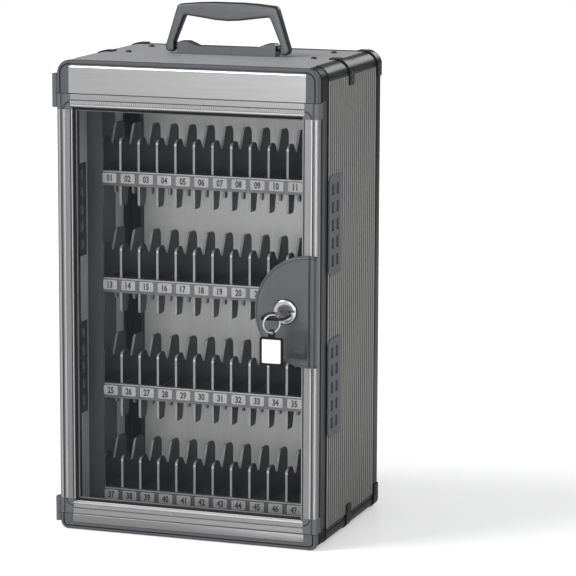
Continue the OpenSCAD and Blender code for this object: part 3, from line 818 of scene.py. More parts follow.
class Palette:
    """All finishes of the locker, each for one of the record's material slots."""
    # Painted shade: a darker copy of the silver, for the sill.
    SILVER_SHADED = BrushedMetal("satin_aluminium_shaded", "silver_profile", (0.20, 0.20, 0.203), 0.34,
                              0.7, coat=0.5, crevice_shade=0.9)
    # Painted highlight along the header's rounded top edge.
    HEADER = FlutedMetal("header_aluminium", "silver_profile", (0.295, 0.295, 0.298), 0.34, 0.7,
                         coat=0.5, crevice_shade=0.9, along="Z", ridges=((497.6, 501.0),),
                         painted_highlight=(0.85, 0.85, 0.86))
    # Painted highlights on the rails' lips next to the pane.
    RAIL = FlutedMetal("rail_aluminium", "silver_profile", (0.27, 0.27, 0.273), 0.34, 0.7,
                       crevice_shade=0.9, along="Z",
                       ridges=((DOOR_TOP - 12.7, DOOR_TOP - 11.4),
                               (DOOR_LOW + 11.4, DOOR_LOW + 14.2)), painted_highlight=(0.45, 0.45, 0.455))
    # Painted highlights on the stiles' ridges.
    SILVER_UP = FlutedMetal("satin_aluminium_upright", "silver_profile", (0.205, 0.205, 0.208),
                            0.34, 0.7, grain=(420.0, 420.0, 5.0), crevice_shade=1.0, reach=2.6,
                            ridges=((127.6, 128.6), (136.2, 138.0), (141.3, 143.0)))
    SILVER_LIP = BrushedMetal("bright_lip", "silver_profile", (0.30, 0.30, 0.31), 0.30, 0.5,
                              grain=(420.0, 420.0, 5.0))
    PANEL = BrushedMetal("grey_panel", "grey_sheet", (0.42, 0.42, 0.43), 0.45, 0.35,
                         grain=(380.0, 5.0, 380.0))
    BACK = BrushedMetal("back_sheet", "grey_sheet", (0.90, 0.90, 0.91), 0.36, 0.25,
                        grain=(520.0, 520.0, 3.0), contrast=0.2)
    # Painted shade in the rib channels, painted light on the inner face.
    RIBS = RibbedMetal("ribbed_sheet", "ribbed_sheet", (0.25, 0.25, 0.243), 0.38, 0.3,
                       grain=(420.0, 420.0, 4.0), sheen=0.15)
    # Painted highlight along the strips' top edges.
    STRIP = StripMetal("strip_sheet", "strip_metal", (0.20, 0.20, 0.21), 0.4, 0.4)
    PLUG = BrushedMetal("plug_steel", "lock_chrome", (0.16, 0.16, 0.165), 0.22, 0.9,
                        grain=(260.0, 260.0, 260.0), contrast=0.5, crevice_shade=0.9)
    STEEL = BrushedMetal("plated_steel", "plated_steel", (0.50, 0.50, 0.51), 0.28, 0.95,
                         grain=(90.0, 90.0, 90.0))
    CHROME = BrushedMetal("chrome", "lock_chrome", (0.50, 0.50, 0.51), 0.14, 1.0,
                          grain=(60.0, 60.0, 60.0), contrast=0.03, spread=0.04, crevice_shade=0.8)
    GUNMETAL = MouldedPlastic("gunmetal_plastic", "gunmetal_plastic", (0.092, 0.097, 0.105), 0.42,
                              sheen=0.35, crevice_shade=0.85)
    # Painted shade round the cylinder, in the recess and in the flutes.
    PLATE = PlatePlastic("lock_plate_plastic", "gunmetal_plastic", (0.080, 0.085, 0.092), 0.38,
                         sheen=0.3, crevice_shade=0.9)
    # Painted shade on the frame behind its rim.
    FRAME = FramePlastic("frame_plastic", "gunmetal_plastic", (0.088, 0.092, 0.100), 0.40,
                         sheen=0.07, crevice_shade=0.85)
    RIVET = PowderCoat("black_rivet", "plated_steel", (0.015, 0.015, 0.016), 0.22, sheen=0.6)
    # Painted shade where the grip turns away from the Y axis.
    GRIP = GripPlastic("grip_plastic", "gunmetal_plastic", (0.105, 0.110, 0.118), 0.36, sheen=0.35)
    VENT = MouldedPlastic("vent_plastic", "gunmetal_plastic", (0.082, 0.086, 0.096), 0.45,
                          sheen=0.2, crevice_shade=0.9)
    KEY = MouldedPlastic("key_plastic", "key_plastic", (0.005, 0.005, 0.006), 0.14, coat=0.05,
                         sheen=0.2, depth=0.00001)
    TILE = MouldedPlastic("tile_plastic", "strip_metal", (0.64, 0.64, 0.64), 0.35, depth=0.00001)
    DIGIT = MouldedPlastic("digit_ink", "strip_metal", (0.10, 0.10, 0.10), 0.5, depth=0.00001,
                           sheen=0.2)
    LABEL = MouldedPlastic("label_paper", "key_plastic", (0.82, 0.82, 0.81), 0.75, grain=900.0)
    # Painted light on front faces, painted highlight at the prong ends.
    DIVIDER = DividerPlastic("divider_plastic", "rack_plastic", (0.022, 0.022, 0.024), 0.42,
                             sheen=0.4)
    SHELF = MouldedPlastic("shelf_plastic", "rack_plastic", (0.03, 0.03, 0.033), 0.5, sheen=0.4)
    PROFILE = PowderCoat("gunmetal_coat", "gunmetal_profile", (0.012, 0.013, 0.014), 0.26,
                         sheen=0.09)
    POST = PowderCoat("post_coat", "gunmetal_profile", (0.040, 0.042, 0.046), 0.42, sheen=0.2)
    UPRIGHT = PowderCoat("upright_coat", "rack_metal", (0.10, 0.108, 0.122), 0.45, sheen=0.4)
    SCREW = PowderCoat("black_screw", "black_screw", (0.02, 0.02, 0.022), 0.3, sheen=0.3)
    CLIP = ClipCoat("clip_coat", "black_clip", (0.012, 0.013, 0.014), 0.26, sheen=0.06)
    RUBBER = MouldedPlastic("gasket_rubber", "gasket_rubber", (0.010, 0.010, 0.011), 0.7,
                            sheen=0.2)
    PANE = ClearSheet("clear_pane", "clear_pane", (0.05, 0.055, 0.06), 0.02)


# ---- pieces

class Bench:
    """Turns shapes and CAD nodes into finished pieces that ride on their bodies."""

    def __init__(self) -> None:
        """Starts with no pieces."""
        self.made: list[str] = []

    def _finish(self, obj: bpy.types.Object, finish: Finish, replaces: Sequence[str],
                body: str) -> None:
        """Links a finished object, and gives it its material and body.

        Args:
            obj: the object.
            finish: its finish.
            replaces: CAD nodes that it stands for.
            body: the CAD body that it rides on.
        """
        bpy.context.collection.objects.link(obj)
        obj.data.materials.clear()
        obj.data.materials.append(finish.material())
        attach(obj, body)
        if replaces:
            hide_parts(*replaces)
        self.made.append(obj.name)
        log.info("%s: %d faces on %s, finish %s", obj.name, len(obj.data.polygons), body,
                 finish.name)

    def add(self, name: str, shape: Shape, finish: Finish, replaces: Sequence[str] = (),
            body: str = "cabinet", sharp: float = SHARP) -> None:
        """Makes a piece from a shape.

        Args:
            name: the piece's name.
            shape: its shape, in millimetres.
            finish: its finish.
            replaces: CAD nodes that it stands for.
            body: the CAD body that it rides on.
            sharp: angle above which an edge is drawn sharp.
        """
        mesh = bpy.data.meshes.new(name)
        faces = [*shape.quads.tolist(), *(cap.tolist() for cap in shape.caps)]
        mesh.from_pydata((shape.verts * MM).tolist(), [], faces)
        self._clean(mesh, 2e-6, sharp)
        self._finish(bpy.data.objects.new(name, mesh), finish, replaces, body)

    def soften(self, node: str, finish: Finish, width: float = 0.35, segments: int = 2,
               body: str = "cabinet") -> None:
        """Stands a merged copy of a CAD node, with rounded edges, in the node's place.

        Args:
            node: the CAD node.
            finish: its finish.
            width: width of the rounding, in millimetres; 0 leaves the edges alone.
            segments: steps across the rounding.
            body: the CAD body that it rides on.
        """
        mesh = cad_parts[node].data.copy()
        mesh.name = f"{node}_soft"
        self._clean(mesh, 1e-6, SHARP, flatten=True)
        obj = bpy.data.objects.new(f"{node}_soft", mesh)
        if width > 0:
            rounding = obj.modifiers.new("rounding", "BEVEL")
            rounding.width = width * MM
            rounding.segments = segments
            rounding.limit_method = "ANGLE"
            rounding.angle_limit = SHARP
            rounding.harden_normals = True
        self._finish(obj, finish, [node], body)

    @staticmethod
    def _clean(mesh: bpy.types.Mesh, merge: float, sharp: float, flatten: bool = False) -> None:
        """Makes one closed skin of a mesh and shades it.

        Args:
            mesh: the mesh.
            merge: distance in metres below which vertices become one.
            sharp: angle above which an edge is drawn sharp.
            flatten: whether coplanar faces are joined.
        """
        work = bmesh.new()
        work.from_mesh(mesh)
        bmesh.ops.remove_doubles(work, verts=work.verts, dist=merge)
        if flatten:
            bmesh.ops.dissolve_limit(work, angle_limit=math.radians(0.5), verts=work.verts,
                                     edges=work.edges)
        bmesh.ops.recalc_face_normals(work, faces=work.faces)
        work.to_mesh(mesh)
        work.free()
        mesh.shade_smooth()
        mesh.set_sharp_from_angle(angle=sharp)


def straight(start: tuple, end: tuple, normal: tuple) -> np.ndarray:
    """Two stations of a straight path with one inward normal."""
    return np.array([[*start, *normal], [*end, *normal]], float)


def bend(centre: tuple, radius: float, start: float, end: float, steps: int) -> np.ndarray:
    """Stations on an arc whose inward normal points at its centre.

    Args:
        centre: the arc's centre, as x and z.
        radius: its radius.
        start: its first angle, in degrees.
        end: its last angle, in degrees.
        steps: steps along it.
    Returns:
        Rows of x, z, nx and nz.
    """
    turn = np.radians(np.linspace(start, end, steps + 1))
    out = np.stack([np.cos(turn), np.sin(turn)], axis=1)
    return np.hstack([np.array(centre) + radius * out, -out])


# ---- front frame

@dataclass
class FrontFrame:
    """Header, sill, trims and corners round the door, and the posts behind it."""
    corner_w: float = 14.0
    top_w: float = 13.98
    low_w: float = 7.98
    fill_from: float = 7.9
    top_r: float = 14.0
    low_r: float = 8.0
    header_top: float = 500.0
    header_r: float = 4.2
    sill_low: float = 8.0
    lip: float = 8.0
    rim: tuple = ((0.0, 6.4), (0.0, 3.0), (0.23, 1.85), (0.88, 0.88), (1.85, 0.23), (3.0, 0.0),
                  (3.5, 0.05), (3.7, 1.1), (4.7, 1.1), (4.9, 0.05))
    side: tuple = ((0.6, 12.4), (1.5, 11.9), (1.5, 7.6), (0.6, 7.1))

    def section(self, width: float) -> list:
        """Section of a corner: its back, the step in its side, the rim and the front face."""
        return [(width, FRAME_DEPTH), (0.6, FRAME_DEPTH), *self.side, *self.rim, (width, 0.0)]

    def corners(self, bench: Bench) -> None:
        """Corner blocks whose rim, groove and side step run round the bend.

        Args:
            bench: makes and finishes the pieces.
        """
        path = np.vstack([[[HALF_W, SEAM_TOP, -1, 0]],
                          bend((HALF_W - self.top_r, HEIGHT - self.top_r), self.top_r, 0, 90, 18)])
        top = sweep(self.section(self.top_w), path)
        low_path = np.vstack([[[HALF_W, SEAM_LOW, -1, 0]],
                              bend((HALF_W - self.low_r, self.low_r), self.low_r, 0, -90, 12),
                              [[HALF_W - self.corner_w, 0.0, 0, 1]]])
        inset_x, side_x = HALF_W - self.corner_w, HALF_W - self.fill_from
        inner = extrude([(inset_x, self.fill_from), (side_x, self.fill_from),
                         (side_x, SEAM_LOW), (inset_x, SEAM_LOW)],
                        Axis.Y, FRONT, FRONT + FRAME_DEPTH)
        low = sweep(self.section(self.low_w), low_path) + inner
        for side, top_part, low_part in (("right", top, low),
                                         ("left", top.mirrored(), low.mirrored())):
            bench.add(f"frame_corner_top_{side}", top_part, Palette.FRAME, [f"corner_top_{side}"])
            bench.add(f"frame_corner_bottom_{side}", low_part, Palette.FRAME,
                      [f"corner_bottom_{side}"])

    def rails(self, bench: Bench) -> None:
        """Header and sill, with rounded front edges.

        Args:
            bench: makes and finishes the pieces.
        """
        inner = HALF_W - self.corner_w
        r, top = self.header_r, self.header_top
        header = [(SEAM_TOP, FRAME_DEPTH), (SEAM_TOP, 0.35), (SEAM_TOP + 0.35, 0.0),
                  *arc((top - r, r), r, -90, 0, 8), (top, FRAME_DEPTH)]
        outline = [(FRONT + y, z) for z, y in header]
        bench.add("header_face", extrude(outline, Axis.X, -inner, inner), Palette.HEADER,
                  ["header_rail"])
        sill = block((-inner, inner), (FRONT, FRONT + FRAME_DEPTH), (self.sill_low, SEAM_LOW), 0.8)
        # Painted shade: the sill takes the darker copy of the silver.
        bench.add("sill_face", sill, Palette.SILVER_SHADED, ["sill_rail"])

    def trims(self, bench: Bench) -> None:
        """Dark trims above the header and below the sill, with the rim's groove along them.

        Args:
            bench: makes and finishes the pieces.
        """
        inner = HALF_W - self.corner_w
        ridge = [(1.5, FRAME_DEPTH), (1.5, self.lip), (0.4, self.lip), (0.0, self.lip - 0.4),
                 (0.0, 3.0), (0.3, 1.9), (1.0, 1.1), (1.9, 0.8), (3.4, 0.8), (3.7, 1.1),
                 (3.9, 2.4), (4.98, 2.4), (4.98, FRAME_DEPTH)]
        foot = [(1.5, FRAME_DEPTH), (1.5, self.lip), (0.0, self.lip), *self.rim[1:], (7.9, 0.05),
                (7.98, 0.3), (7.98, FRAME_DEPTH)]
        top = sweep(ridge, straight((-inner, HEIGHT), (inner, HEIGHT), (0, -1)))
        low = sweep(foot, straight((-inner, 0.0), (inner, 0.0), (0, 1)))
        bench.add("frame_trims", top + low, Palette.FRAME, ["front_trims"])

    def build(self, bench: Bench) -> None:
        """Builds the whole front frame.

        Args:
            bench: makes and finishes the pieces.
        """
        self.corners(bench)
        self.rails(bench)
        self.trims(bench)
        for side in ("left", "right"):
            bench.soften(f"front_post_{side}", Palette.POST)


# ---- shell

@dataclass
class Shell:
    """Edge profiles, rear frame, panels, ribbed sides, clips, screws and vent plates."""
    panel_front: float = 8.2
    rear_bar: float = 16.0
    bar_w: float = 14.0
    sheet_t: float = 1.5

    def build(self, bench: Bench) -> None:
        """Builds the cabinet behind its front frame.

        Args:
            bench: makes and finishes the pieces.
        """
        for level in ("top", "bottom"):
            for side in ("left", "right"):
                bench.soften(f"edge_profile_{level}_{side}", Palette.PROFILE, 0.4)
            bench.soften(f"rear_rail_{level}", Palette.PROFILE, 0.5)
        for side in ("left", "right"):
            bench.soften(f"rear_post_{side}", Palette.PROFILE, 0.5)
            bench.soften(f"side_panel_{side}", Palette.RIBS, 0.2, 1)
        inner = HALF_W - self.bar_w
        span = (FRONT + self.panel_front, REAR - self.rear_bar)
        bench.add("top_sheet", block((-inner, inner), span, (HEIGHT - self.sheet_t, HEIGHT), 0.3),
                  Palette.PANEL, ["top_panel"], sharp=math.radians(5))
        for node, *look in (("bottom_panel", Palette.PANEL, 0.2, 1),
                            ("back_panel", Palette.BACK, 0.2, 1),
                            ("edge_clips", Palette.CLIP, 0.3), ("clip_rivets", Palette.RIVET, 0.2),
                            ("vent_plates", Palette.VENT, 0.3), ("top_screws", Palette.SCREW, 0.2),
                            ("handle_backing_plate", Palette.STEEL, 0.3)):
            bench.soften(node, *look)


# ---- racks

@dataclass
class Racks:
    """Uprights, shelves, dividers, and the numbered strips."""
    tile_w: float = 16.0
    tile_h: float = 10.3
    tile_t: float = 0.45
    tile_r: float = 1.5
    tile_drop: float = 7.6
    digit_h: float = 7.5
    digit_squeeze: float = 0.76
    digit_bold: float = 0.042
    digit_rise: float = 0.10

    def tiles(self, bench: Bench) -> None:
        """One pale tile per slot, on the strips' faces.

        Args:
            bench: makes and finishes the pieces.
        """
        outline = rounded((-self.tile_w / 2, self.tile_w / 2),
                          (-self.tile_h / 2, self.tile_h / 2), self.tile_r, 4)
        tile = extrude(outline, Axis.Y, RACK_Y - self.tile_t, RACK_Y + 0.3, 0.18, 2)
        spots = [tile.moved(x, 0, z) for x, z, _ in self.places()]
        bench.add("number_tiles", join(spots), Palette.TILE)

    def places(self) -> list:
        """Centre and number of every slot, rack by rack from the top.

        Returns:
            Tuples of x, z and number.
        """
        return [((slot - (SLOTS - 1) / 2) * SLOT_PITCH,
                 RACK_BASE + (TIERS - 1 - tier) * TIER_PITCH - self.tile_drop,
                 tier * SLOTS + slot + 1)
                for tier in range(TIERS) for slot in range(SLOTS)]

    def glyphs(self, text: str) -> Shape:
        """Flat letters as a shape on the XZ plane, centred, digit_h high and facing -Y.

        Args:
            text: the digits.
        Returns:
            The shape.
        """
        curve = bpy.data.curves.new(text, "FONT")
        curve.body, curve.extrude, curve.resolution_u = text, 0.01, 3
        curve.offset = self.digit_bold
        curve.align_x = "CENTER"
        holder = bpy.data.objects.new(text, curve)
        bpy.context.collection.objects.link(holder)
        bpy.context.view_layer.update()
        mesh = holder.evaluated_get(bpy.context.evaluated_depsgraph_get()).to_mesh()
        pts = np.array([vertex.co for vertex in mesh.vertices])
        caps = [np.array(face.vertices) for face in mesh.polygons]
        low, high = pts.min(0), pts.max(0)
        scale = self.digit_h / (high[1] - low[1])
        middle = (low + high) / 2
        verts = np.stack([(pts[:, 0] - middle[0]) * scale * self.digit_squeeze,
                          -np.sign(pts[:, 2]) * self.digit_rise,
                          (pts[:, 1] - middle[1]) * scale], axis=1)
        holder.to_mesh_clear()
        bpy.data.objects.remove(holder)
        bpy.data.curves.remove(curve)
        return Shape(verts, np.zeros((0, 4), int), caps)

    def numbers(self, bench: Bench) -> None:
        """Two-digit number on each tile.

        Args:
            bench: makes and finishes the pieces.
        """
        parts = [self.glyphs(f"{number:02d}").moved(x, RACK_Y - self.tile_t, z)
                 for x, z, number in self.places()]
        bench.add("slot_numbers", join(parts), Palette.DIGIT, sharp=math.radians(60))

    def build(self, bench: Bench) -> None:
        """Builds all four racks.

        Args:
            bench: makes and finishes the pieces.
        """
        for side in ("left", "right"):
            bench.soften(f"rack_upright_{side}", Palette.UPRIGHT, 0.3)
        for tier in range(1, TIERS + 1):
            bench.soften(f"rack_shelf_{tier}", Palette.SHELF, 0.25, 1)
            bench.soften(f"slot_dividers_{tier}", Palette.DIVIDER, 0.25)
        bench.soften("number_strips", Palette.STRIP, 0.3)
        self.tiles(bench)
        self.numbers(bench)


# ---- door

@dataclass
class Door:
    """Glazed door: fluted stiles, rails with a toothed strip, plastic corners, pane and seal."""
    thickness: float = 12.0
    inner_x: float = 127.5
    corner_x: float = 129.5
    corner_h: float = 16.5
    rail_h: float = 14.0
    tooth: float = 2.4
    seal_w: float = 3.0
    bead_w: float = 0.8
    lock_share: float = 0.3
    stile: tuple = ((17.5, 12.0), (17.5, 0.6), (17.1, 0.15), (16.4, 0.1), (16.1, 0.6),
                    (15.9, 1.1), (15.3, 1.1), (15.1, 0.5), (14.9, 0.3), (9.3, 0.3),
                    (9.1, 0.15), (8.7, 0.0), (7.1, 0.0), (6.7, 0.2), (6.4, 1.3), (4.5, 1.3),
                    (4.2, 0.3), (3.9, 0.05), (2.4, 0.0), (1.4, 0.15), (0.7, 0.6), (0.25, 1.3),
                    (0.0, 2.6), (0.0, 6.7), (0.3, 7.1), (1.2, 7.5), (1.2, 11.8), (1.4, 12.0))

    def stiles(self, bench: Bench) -> None:
        """Fluted stile on each side, swept up the door.

        Args:
            bench: makes and finishes the pieces.
        """
        low, high = DOOR_LOW + self.corner_h, DOOR_TOP - self.corner_h
        shape = sweep(self.stile, straight((HALF_W, low), (HALF_W, high), (-1, 0)))
        bench.add("lock_stile", shape, Palette.SILVER_UP, ["door_stile_lock"], body="door")
        bench.add("hinge_stile", shape.mirrored(), Palette.SILVER_UP, ["door_stile_hinge"],
                  body="door")

    def rail_depth(self, x: np.ndarray, out: np.ndarray) -> np.ndarray:
        """Front face of a rail, out millimetres from the door's outer edge.

        A fine groove at 6.4, teeth between 6.7 and 11.1 cut as |sin| along x, a lip, and a
        bevel towards the pane.

        Args:
            x: places along the rail.
            out: distances from the door's outer edge.
        Returns:
            Depth of the face behind FRONT.
        """
        face = 0.1 + groove(out, 6.1, 6.5, 0.5, 0.2)
        teeth = groove(out, 6.9, 10.9, 1.0, 0.25)
        face = face + teeth * (0.25 + 0.45 * np.abs(np.sin(math.pi * x / self.tooth)))
        bevel = 1.8 * smooth((out - 12.7) / 1.3)
        edge = 0.5 * smooth((0.5 - out) / 0.5)
        return face + bevel + edge

    def rails(self, bench: Bench) -> None:
        """Top and bottom rails.

        Args:
            bench: makes and finishes the pieces.
        """
        xs = np.linspace(-self.corner_x, self.corner_x, 433)
        steps = np.array([0, 0.25, 0.5, 3, 5.8, 6.1, 6.5, 6.65, 6.9, 8, 9.5, 10.9, 11.15, 11.4,
                          12.6, 12.9, 13.3, 13.7, 14.0])
        top = relief(xs, DOOR_TOP - steps, lambda x, z: self.rail_depth(x, DOOR_TOP - z),
                     self.thickness)
        low = relief(xs, DOOR_LOW + steps, lambda x, z: self.rail_depth(x, z - DOOR_LOW),
                     self.thickness)
        bench.add("top_rail", top, Palette.RAIL, ["door_rail_top"], body="door")
        bench.add("bottom_rail", low, Palette.RAIL, ["door_rail_bottom"], body="door")

    def corner_depth(self, x: np.ndarray, z: np.ndarray, height: float) -> np.ndarray:
        """Face of a corner: the stile's outer groove, and a quarter ring at its inner corner.

        Args:
            x: places across the corner.
            z: heights.
            height: height of the quarter ring's centre.
        Returns:
            Depth of the face behind FRONT.
        """
        out = HALF_W - x
        reach = np.hypot(x - self.corner_x, z - height)
        ring = groove(reach, 7.4, 8.5, 0.9)
        rim = 1.6 * (1 - np.sqrt(np.clip(1 - (np.clip(1.6 - out, 0, 1.6) / 1.6) ** 2, 0, 1)))
        flute = groove(out, 4.7, 6.2, 0.9)
        return 0.05 + np.maximum(np.maximum(ring, flute), rim)

    def corners(self, bench: Bench) -> None:
        """Four plastic corners.

        Args:
            bench: makes and finishes the pieces.
        """
        parts = []
        xs = np.linspace(self.corner_x, HALF_W, 56)
        for low, centre in ((DOOR_TOP - self.corner_h, DOOR_TOP - self.corner_h),
                            (DOOR_LOW, DOOR_LOW + self.corner_h)):
            zs = np.linspace(low, low + self.corner_h, 56)
            parts.append(relief(xs, zs, lambda x, z, c=centre: self.corner_depth(x, z, c),
                                self.thickness))
        across, deep = (self.inner_x, self.corner_x + 0.1), (FRONT + 0.1, FRONT + self.thickness)
        legs = [block(across, deep, span, 0.2)
                for span in ((DOOR_TOP - self.corner_h, DOOR_TOP - self.rail_h),
                             (DOOR_LOW + self.rail_h, DOOR_LOW + self.corner_h))]
        bench.add("door_frame_corners", join([*parts, *legs]).both(), Palette.GUNMETAL,
                  ["door_corners"], body="door")

    def ring(self, inward: float, y: float) -> np.ndarray:
        """Rectangle inward millimetres from the frame's inner edge; less so on the lock side.

        Args:
            inward: distance from the frame's inner edge.
            y: depth behind FRONT.
        Returns:
            The four corners, an array of shape (4, 3).
        """
        low = DOOR_LOW + self.rail_h + inward
        high = DOOR_TOP - self.rail_h - inward
        left, right = -self.inner_x + inward, self.inner_x - inward * self.lock_share
        corners = np.array([(left, low), (left, high), (right, high), (right, low)])
        return place(corners, FRONT + y, Axis.Y)

    def band(self, profile: Sequence) -> Shape:
        """Profile of (inward, depth) points carried round the pane."""
        return loft(np.stack([self.ring(u, y) for u, y in profile]), closed=True)

    def seal(self, bench: Bench) -> None:
        """Rubber seal round the pane, and the thin light bead along its inner edge.

        Args:
            bench: makes and finishes the pieces.
        """
        lip = [(0.0, 4.98), (0.0, 2.6), (0.5, 2.3), (1.6, 2.6), (2.9, 3.9), (3.0, 4.98)]
        bench.add("pane_seal", self.band(lip), Palette.RUBBER, ["door_gasket"], body="door")
        start, end = self.seal_w, self.seal_w + self.bead_w
        bead = [(start, 4.9), (start, 3.6), (start + self.bead_w * 0.4, 3.4), (end, 4.2),
                (end, 4.9)]
        bench.add("glazing_bead", self.band(bead), Palette.SILVER_LIP, body="door")

    def build(self, bench: Bench) -> None:
        """Builds the door without its lock.

        Args:
            bench: makes and finishes the pieces.
        """
        self.stiles(bench)
        self.rails(bench)
        self.corners(bench)
        self.seal(bench)
        bench.soften("door_pane", Palette.PANE, 0.0, body="door")
        bench.soften("hinge_knuckles", Palette.GUNMETAL, 0.4, body="door")
        bench.soften("hinge_brackets", Palette.GUNMETAL, 0.4)
        bench.soften("hinge_pins", Palette.STEEL, 0.2, body="door")


# ---- lock

@dataclass
class Lock:
    """D-shaped plate with its finger recess, the cylinder, the cam, and the key on its ring."""
    plate_x: float = 135.7
    plate_r: float = 59.0
    face: float = -4.5
    rim_w: float = 2.2
    recess_x: tuple = (112.0, 136.5)
    recess_z: tuple = (204.5, 246.0)
    recess_d: float = 3.2
    rays: int = 300
    rows: int = 110
    window_in: float = 2.4
    tag_w: float = 25.0
    tag_h: float = 29.5
    tag_at: tuple = (LOCK_X + 1.0, FRONT - 49.8, LOCK_Z - 18.5)
    rim_groove: tuple = (2.9, 3.3)
    flute: tuple = (136.4, 138.0)
    step_x: float = 142.4
    dimple: tuple = (124.3, 210.5)
    middle_x: float = 118.0

    def boundary(self) -> np.ndarray:
        """The D's outline: a circle's arc closed by the door's edge.

        Returns:
            The points, an array of shape (n, 2).
        """
        reach = HALF_W - self.plate_x
        angle = math.degrees(math.acos(reach / self.plate_r))
        curve = arc((self.plate_x, LOCK_Z), self.plate_r, angle, 360 - angle, self.rays)
        edge = np.linspace(curve[-1], curve[0], 60)[1:-1]
        return np.vstack([curve, edge])

    def depth(self, x: np.ndarray, z: np.ndarray) -> np.ndarray:
        """Face of the plate.

        The rim falls from face to 0 as a quarter ellipse, with a fine groove inside it. Flutes
        follow the stile's edge. The recess deepens downwards from the cylinder and ends in a
        steep wall.

        Args:
            x: places across the plate.
            z: heights.
        Returns:
            Place of the face behind FRONT, which is negative where it stands proud.
        """
        reach = np.hypot(x - self.plate_x, z - LOCK_Z)
        inside = self.plate_r - reach
        fall = np.sqrt(np.clip(1 - ((self.rim_w - np.clip(inside, 0, self.rim_w))
                                    / self.rim_w) ** 2, 0, 1))
        y = self.face * fall
        y = y + groove(inside, *self.rim_groove, 0.45, 0.3)
        y = y + groove(x, *self.flute, 1.0, 0.5)
        y = y + 1.2 * smooth((x - self.step_x) / 2.6) ** 2
        wide = np.minimum(x - self.recess_x[0], self.recess_x[1] - x)
        tall = self.recess_z[1] - z
        in_x = smooth(wide / 5.0)
        in_z = smooth((z - self.recess_z[0]) / 1.6)
        slope = smooth(tall / 40.0)
        scoop = self.recess_d * in_x * in_z * (0.15 + 0.85 * slope) * smooth(tall / 8.0)
        across, up = (x - self.dimple[0]) / 4.5, (z - self.dimple[1]) / 2.6
        oval = 1.2 * np.clip(1 - across ** 2 - up ** 2, 0, 1)
        return y + scoop - oval

    def plate(self, bench: Bench) -> None:
        """Fan of rings from the plate's middle to its outline, then down to the door.

        Args:
            bench: makes and finishes the pieces.
        """
        edge = self.boundary()
        middle = np.array([self.middle_x, LOCK_Z])
        ratio = np.concatenate([np.linspace(0.02, 0.88, self.rows),
                                np.linspace(0.89, 1.0, 34)])
        flat = middle + ratio[:, None, None] * (edge - middle)[None]
        y = FRONT + self.depth(flat[..., 0], flat[..., 1])
        front = np.stack([flat[..., 0], y, flat[..., 1]], axis=-1)
        back = place(edge, FRONT, Axis.Y)[None]
        bench.add("lock_escutcheon", loft(np.vstack([front, back])), Palette.PLATE, ["lock_plate"],
                  body="door", sharp=math.radians(50))

    def label(self, bench: Bench) -> None:
        """Bare label in the tag's window.

        Args:
            bench: makes and finishes the pieces.
        """
        ring_x, ring_y, top = self.tag_at
        half, inn = self.tag_w / 2, self.window_in + 0.1
        outline = rounded((ring_x - half + inn, ring_x + half - inn),
                          (top - self.tag_h + inn, top - inn), 1.0)
        bench.add("tag_label", extrude(outline, Axis.Y, ring_y - 1.35, ring_y - 0.6, 0.1, 2),
                  Palette.LABEL, body="tag")

    def build(self, bench: Bench) -> None:
        """Builds the lock, its key, ring and tag.

        Args:
            bench: makes and finishes the pieces.
        """
        self.plate(bench)
        bench.soften("lock_housing", Palette.CHROME, 0.5, 3, body="door")
        bench.soften("lock_nut", Palette.STEEL, 0.3, body="door")
        bench.soften("lock_plug", Palette.PLUG, 0.25, body="plug")
        bench.soften("lock_cam", Palette.STEEL, 0.3, body="plug")
        bench.soften("key", Palette.KEY, 0.7, 3, body="key_blank")
        bench.soften("key_ring", Palette.STEEL, 0.0, body="split_ring")
        bench.soften("key_tag", Palette.KEY, 0.5, 3, body="tag")
        self.label(bench)


# ---- handle

@dataclass
class Handle:
    """Carry handle on its base: splayed legs under a crowned grip, with well rounded edges."""
    x: float = 6.0
    y: float = FRONT + 113.0
    pivot: float = HEIGHT + 8.4
    half_w: float = 70.5
    rise: float = 47.6
    leg_in: float = 59.4
    foot_low: float = 6.8
    half_t: float = 6.8
    soft: float = 3.6

    def outline(self) -> np.ndarray:
        """Outline in the XZ plane, about the pivot line.

        The right half runs from the foot's underside up the leg's outer side to the crown, and
        from the grip's underside down the inner side; the left half is its mirror image.

        Returns:
            The points, an array of shape (n, 2).
        """
        out, rise = self.half_w, self.rise
        outer = np.vstack([arc((out - 5.6, -1.2), 5.6, -88, 5, 8),
                           arc((out - 18.6, rise - 8.2), 5.6, 12, 72, 7),
                           [(out - 37.0, rise - 0.9), (out - 54.0, rise - 0.1)]])
        inner = np.vstack([[(0.0, rise - 20.0), (14.0, rise - 19.2), (30.0, rise - 17.0)],
                           arc((out - 24.6, rise - 18.0), 3.0, 98, 22, 6),
                           [(self.leg_in, 4.6)],
                           arc((self.leg_in + 3.8, 3.8 - self.foot_low), 3.8, 180, 262, 6)])
        flip = np.array([-1.0, 1.0])
        return np.vstack([outer, (outer * flip)[::-1], (inner[1:] * flip)[::-1], inner])

    def grip(self, bench: Bench) -> None:
        """The handle, extruded along Y with its edges rounded by soft.

        Args:
            bench: makes and finishes the pieces.
        """
        ring = self.outline() + np.array([self.x, self.pivot])
        shape = extrude(ring, Axis.Y, self.y - self.half_t, self.y + self.half_t, self.soft, 6)
        bench.add("carry_grip", shape, Palette.GRIP, ["carry_handle"], body="handle",
                  sharp=math.radians(50))

    def build(self, bench: Bench) -> None:
        """Builds the handle.

        Args:
            bench: makes and finishes the pieces.
        """
        bench.soften("handle_base", Palette.GRIP, 0.8, 3)
        bench.soften("handle_pins", Palette.RIVET, 0.3)
        self.grip(bench)


# ---- studio

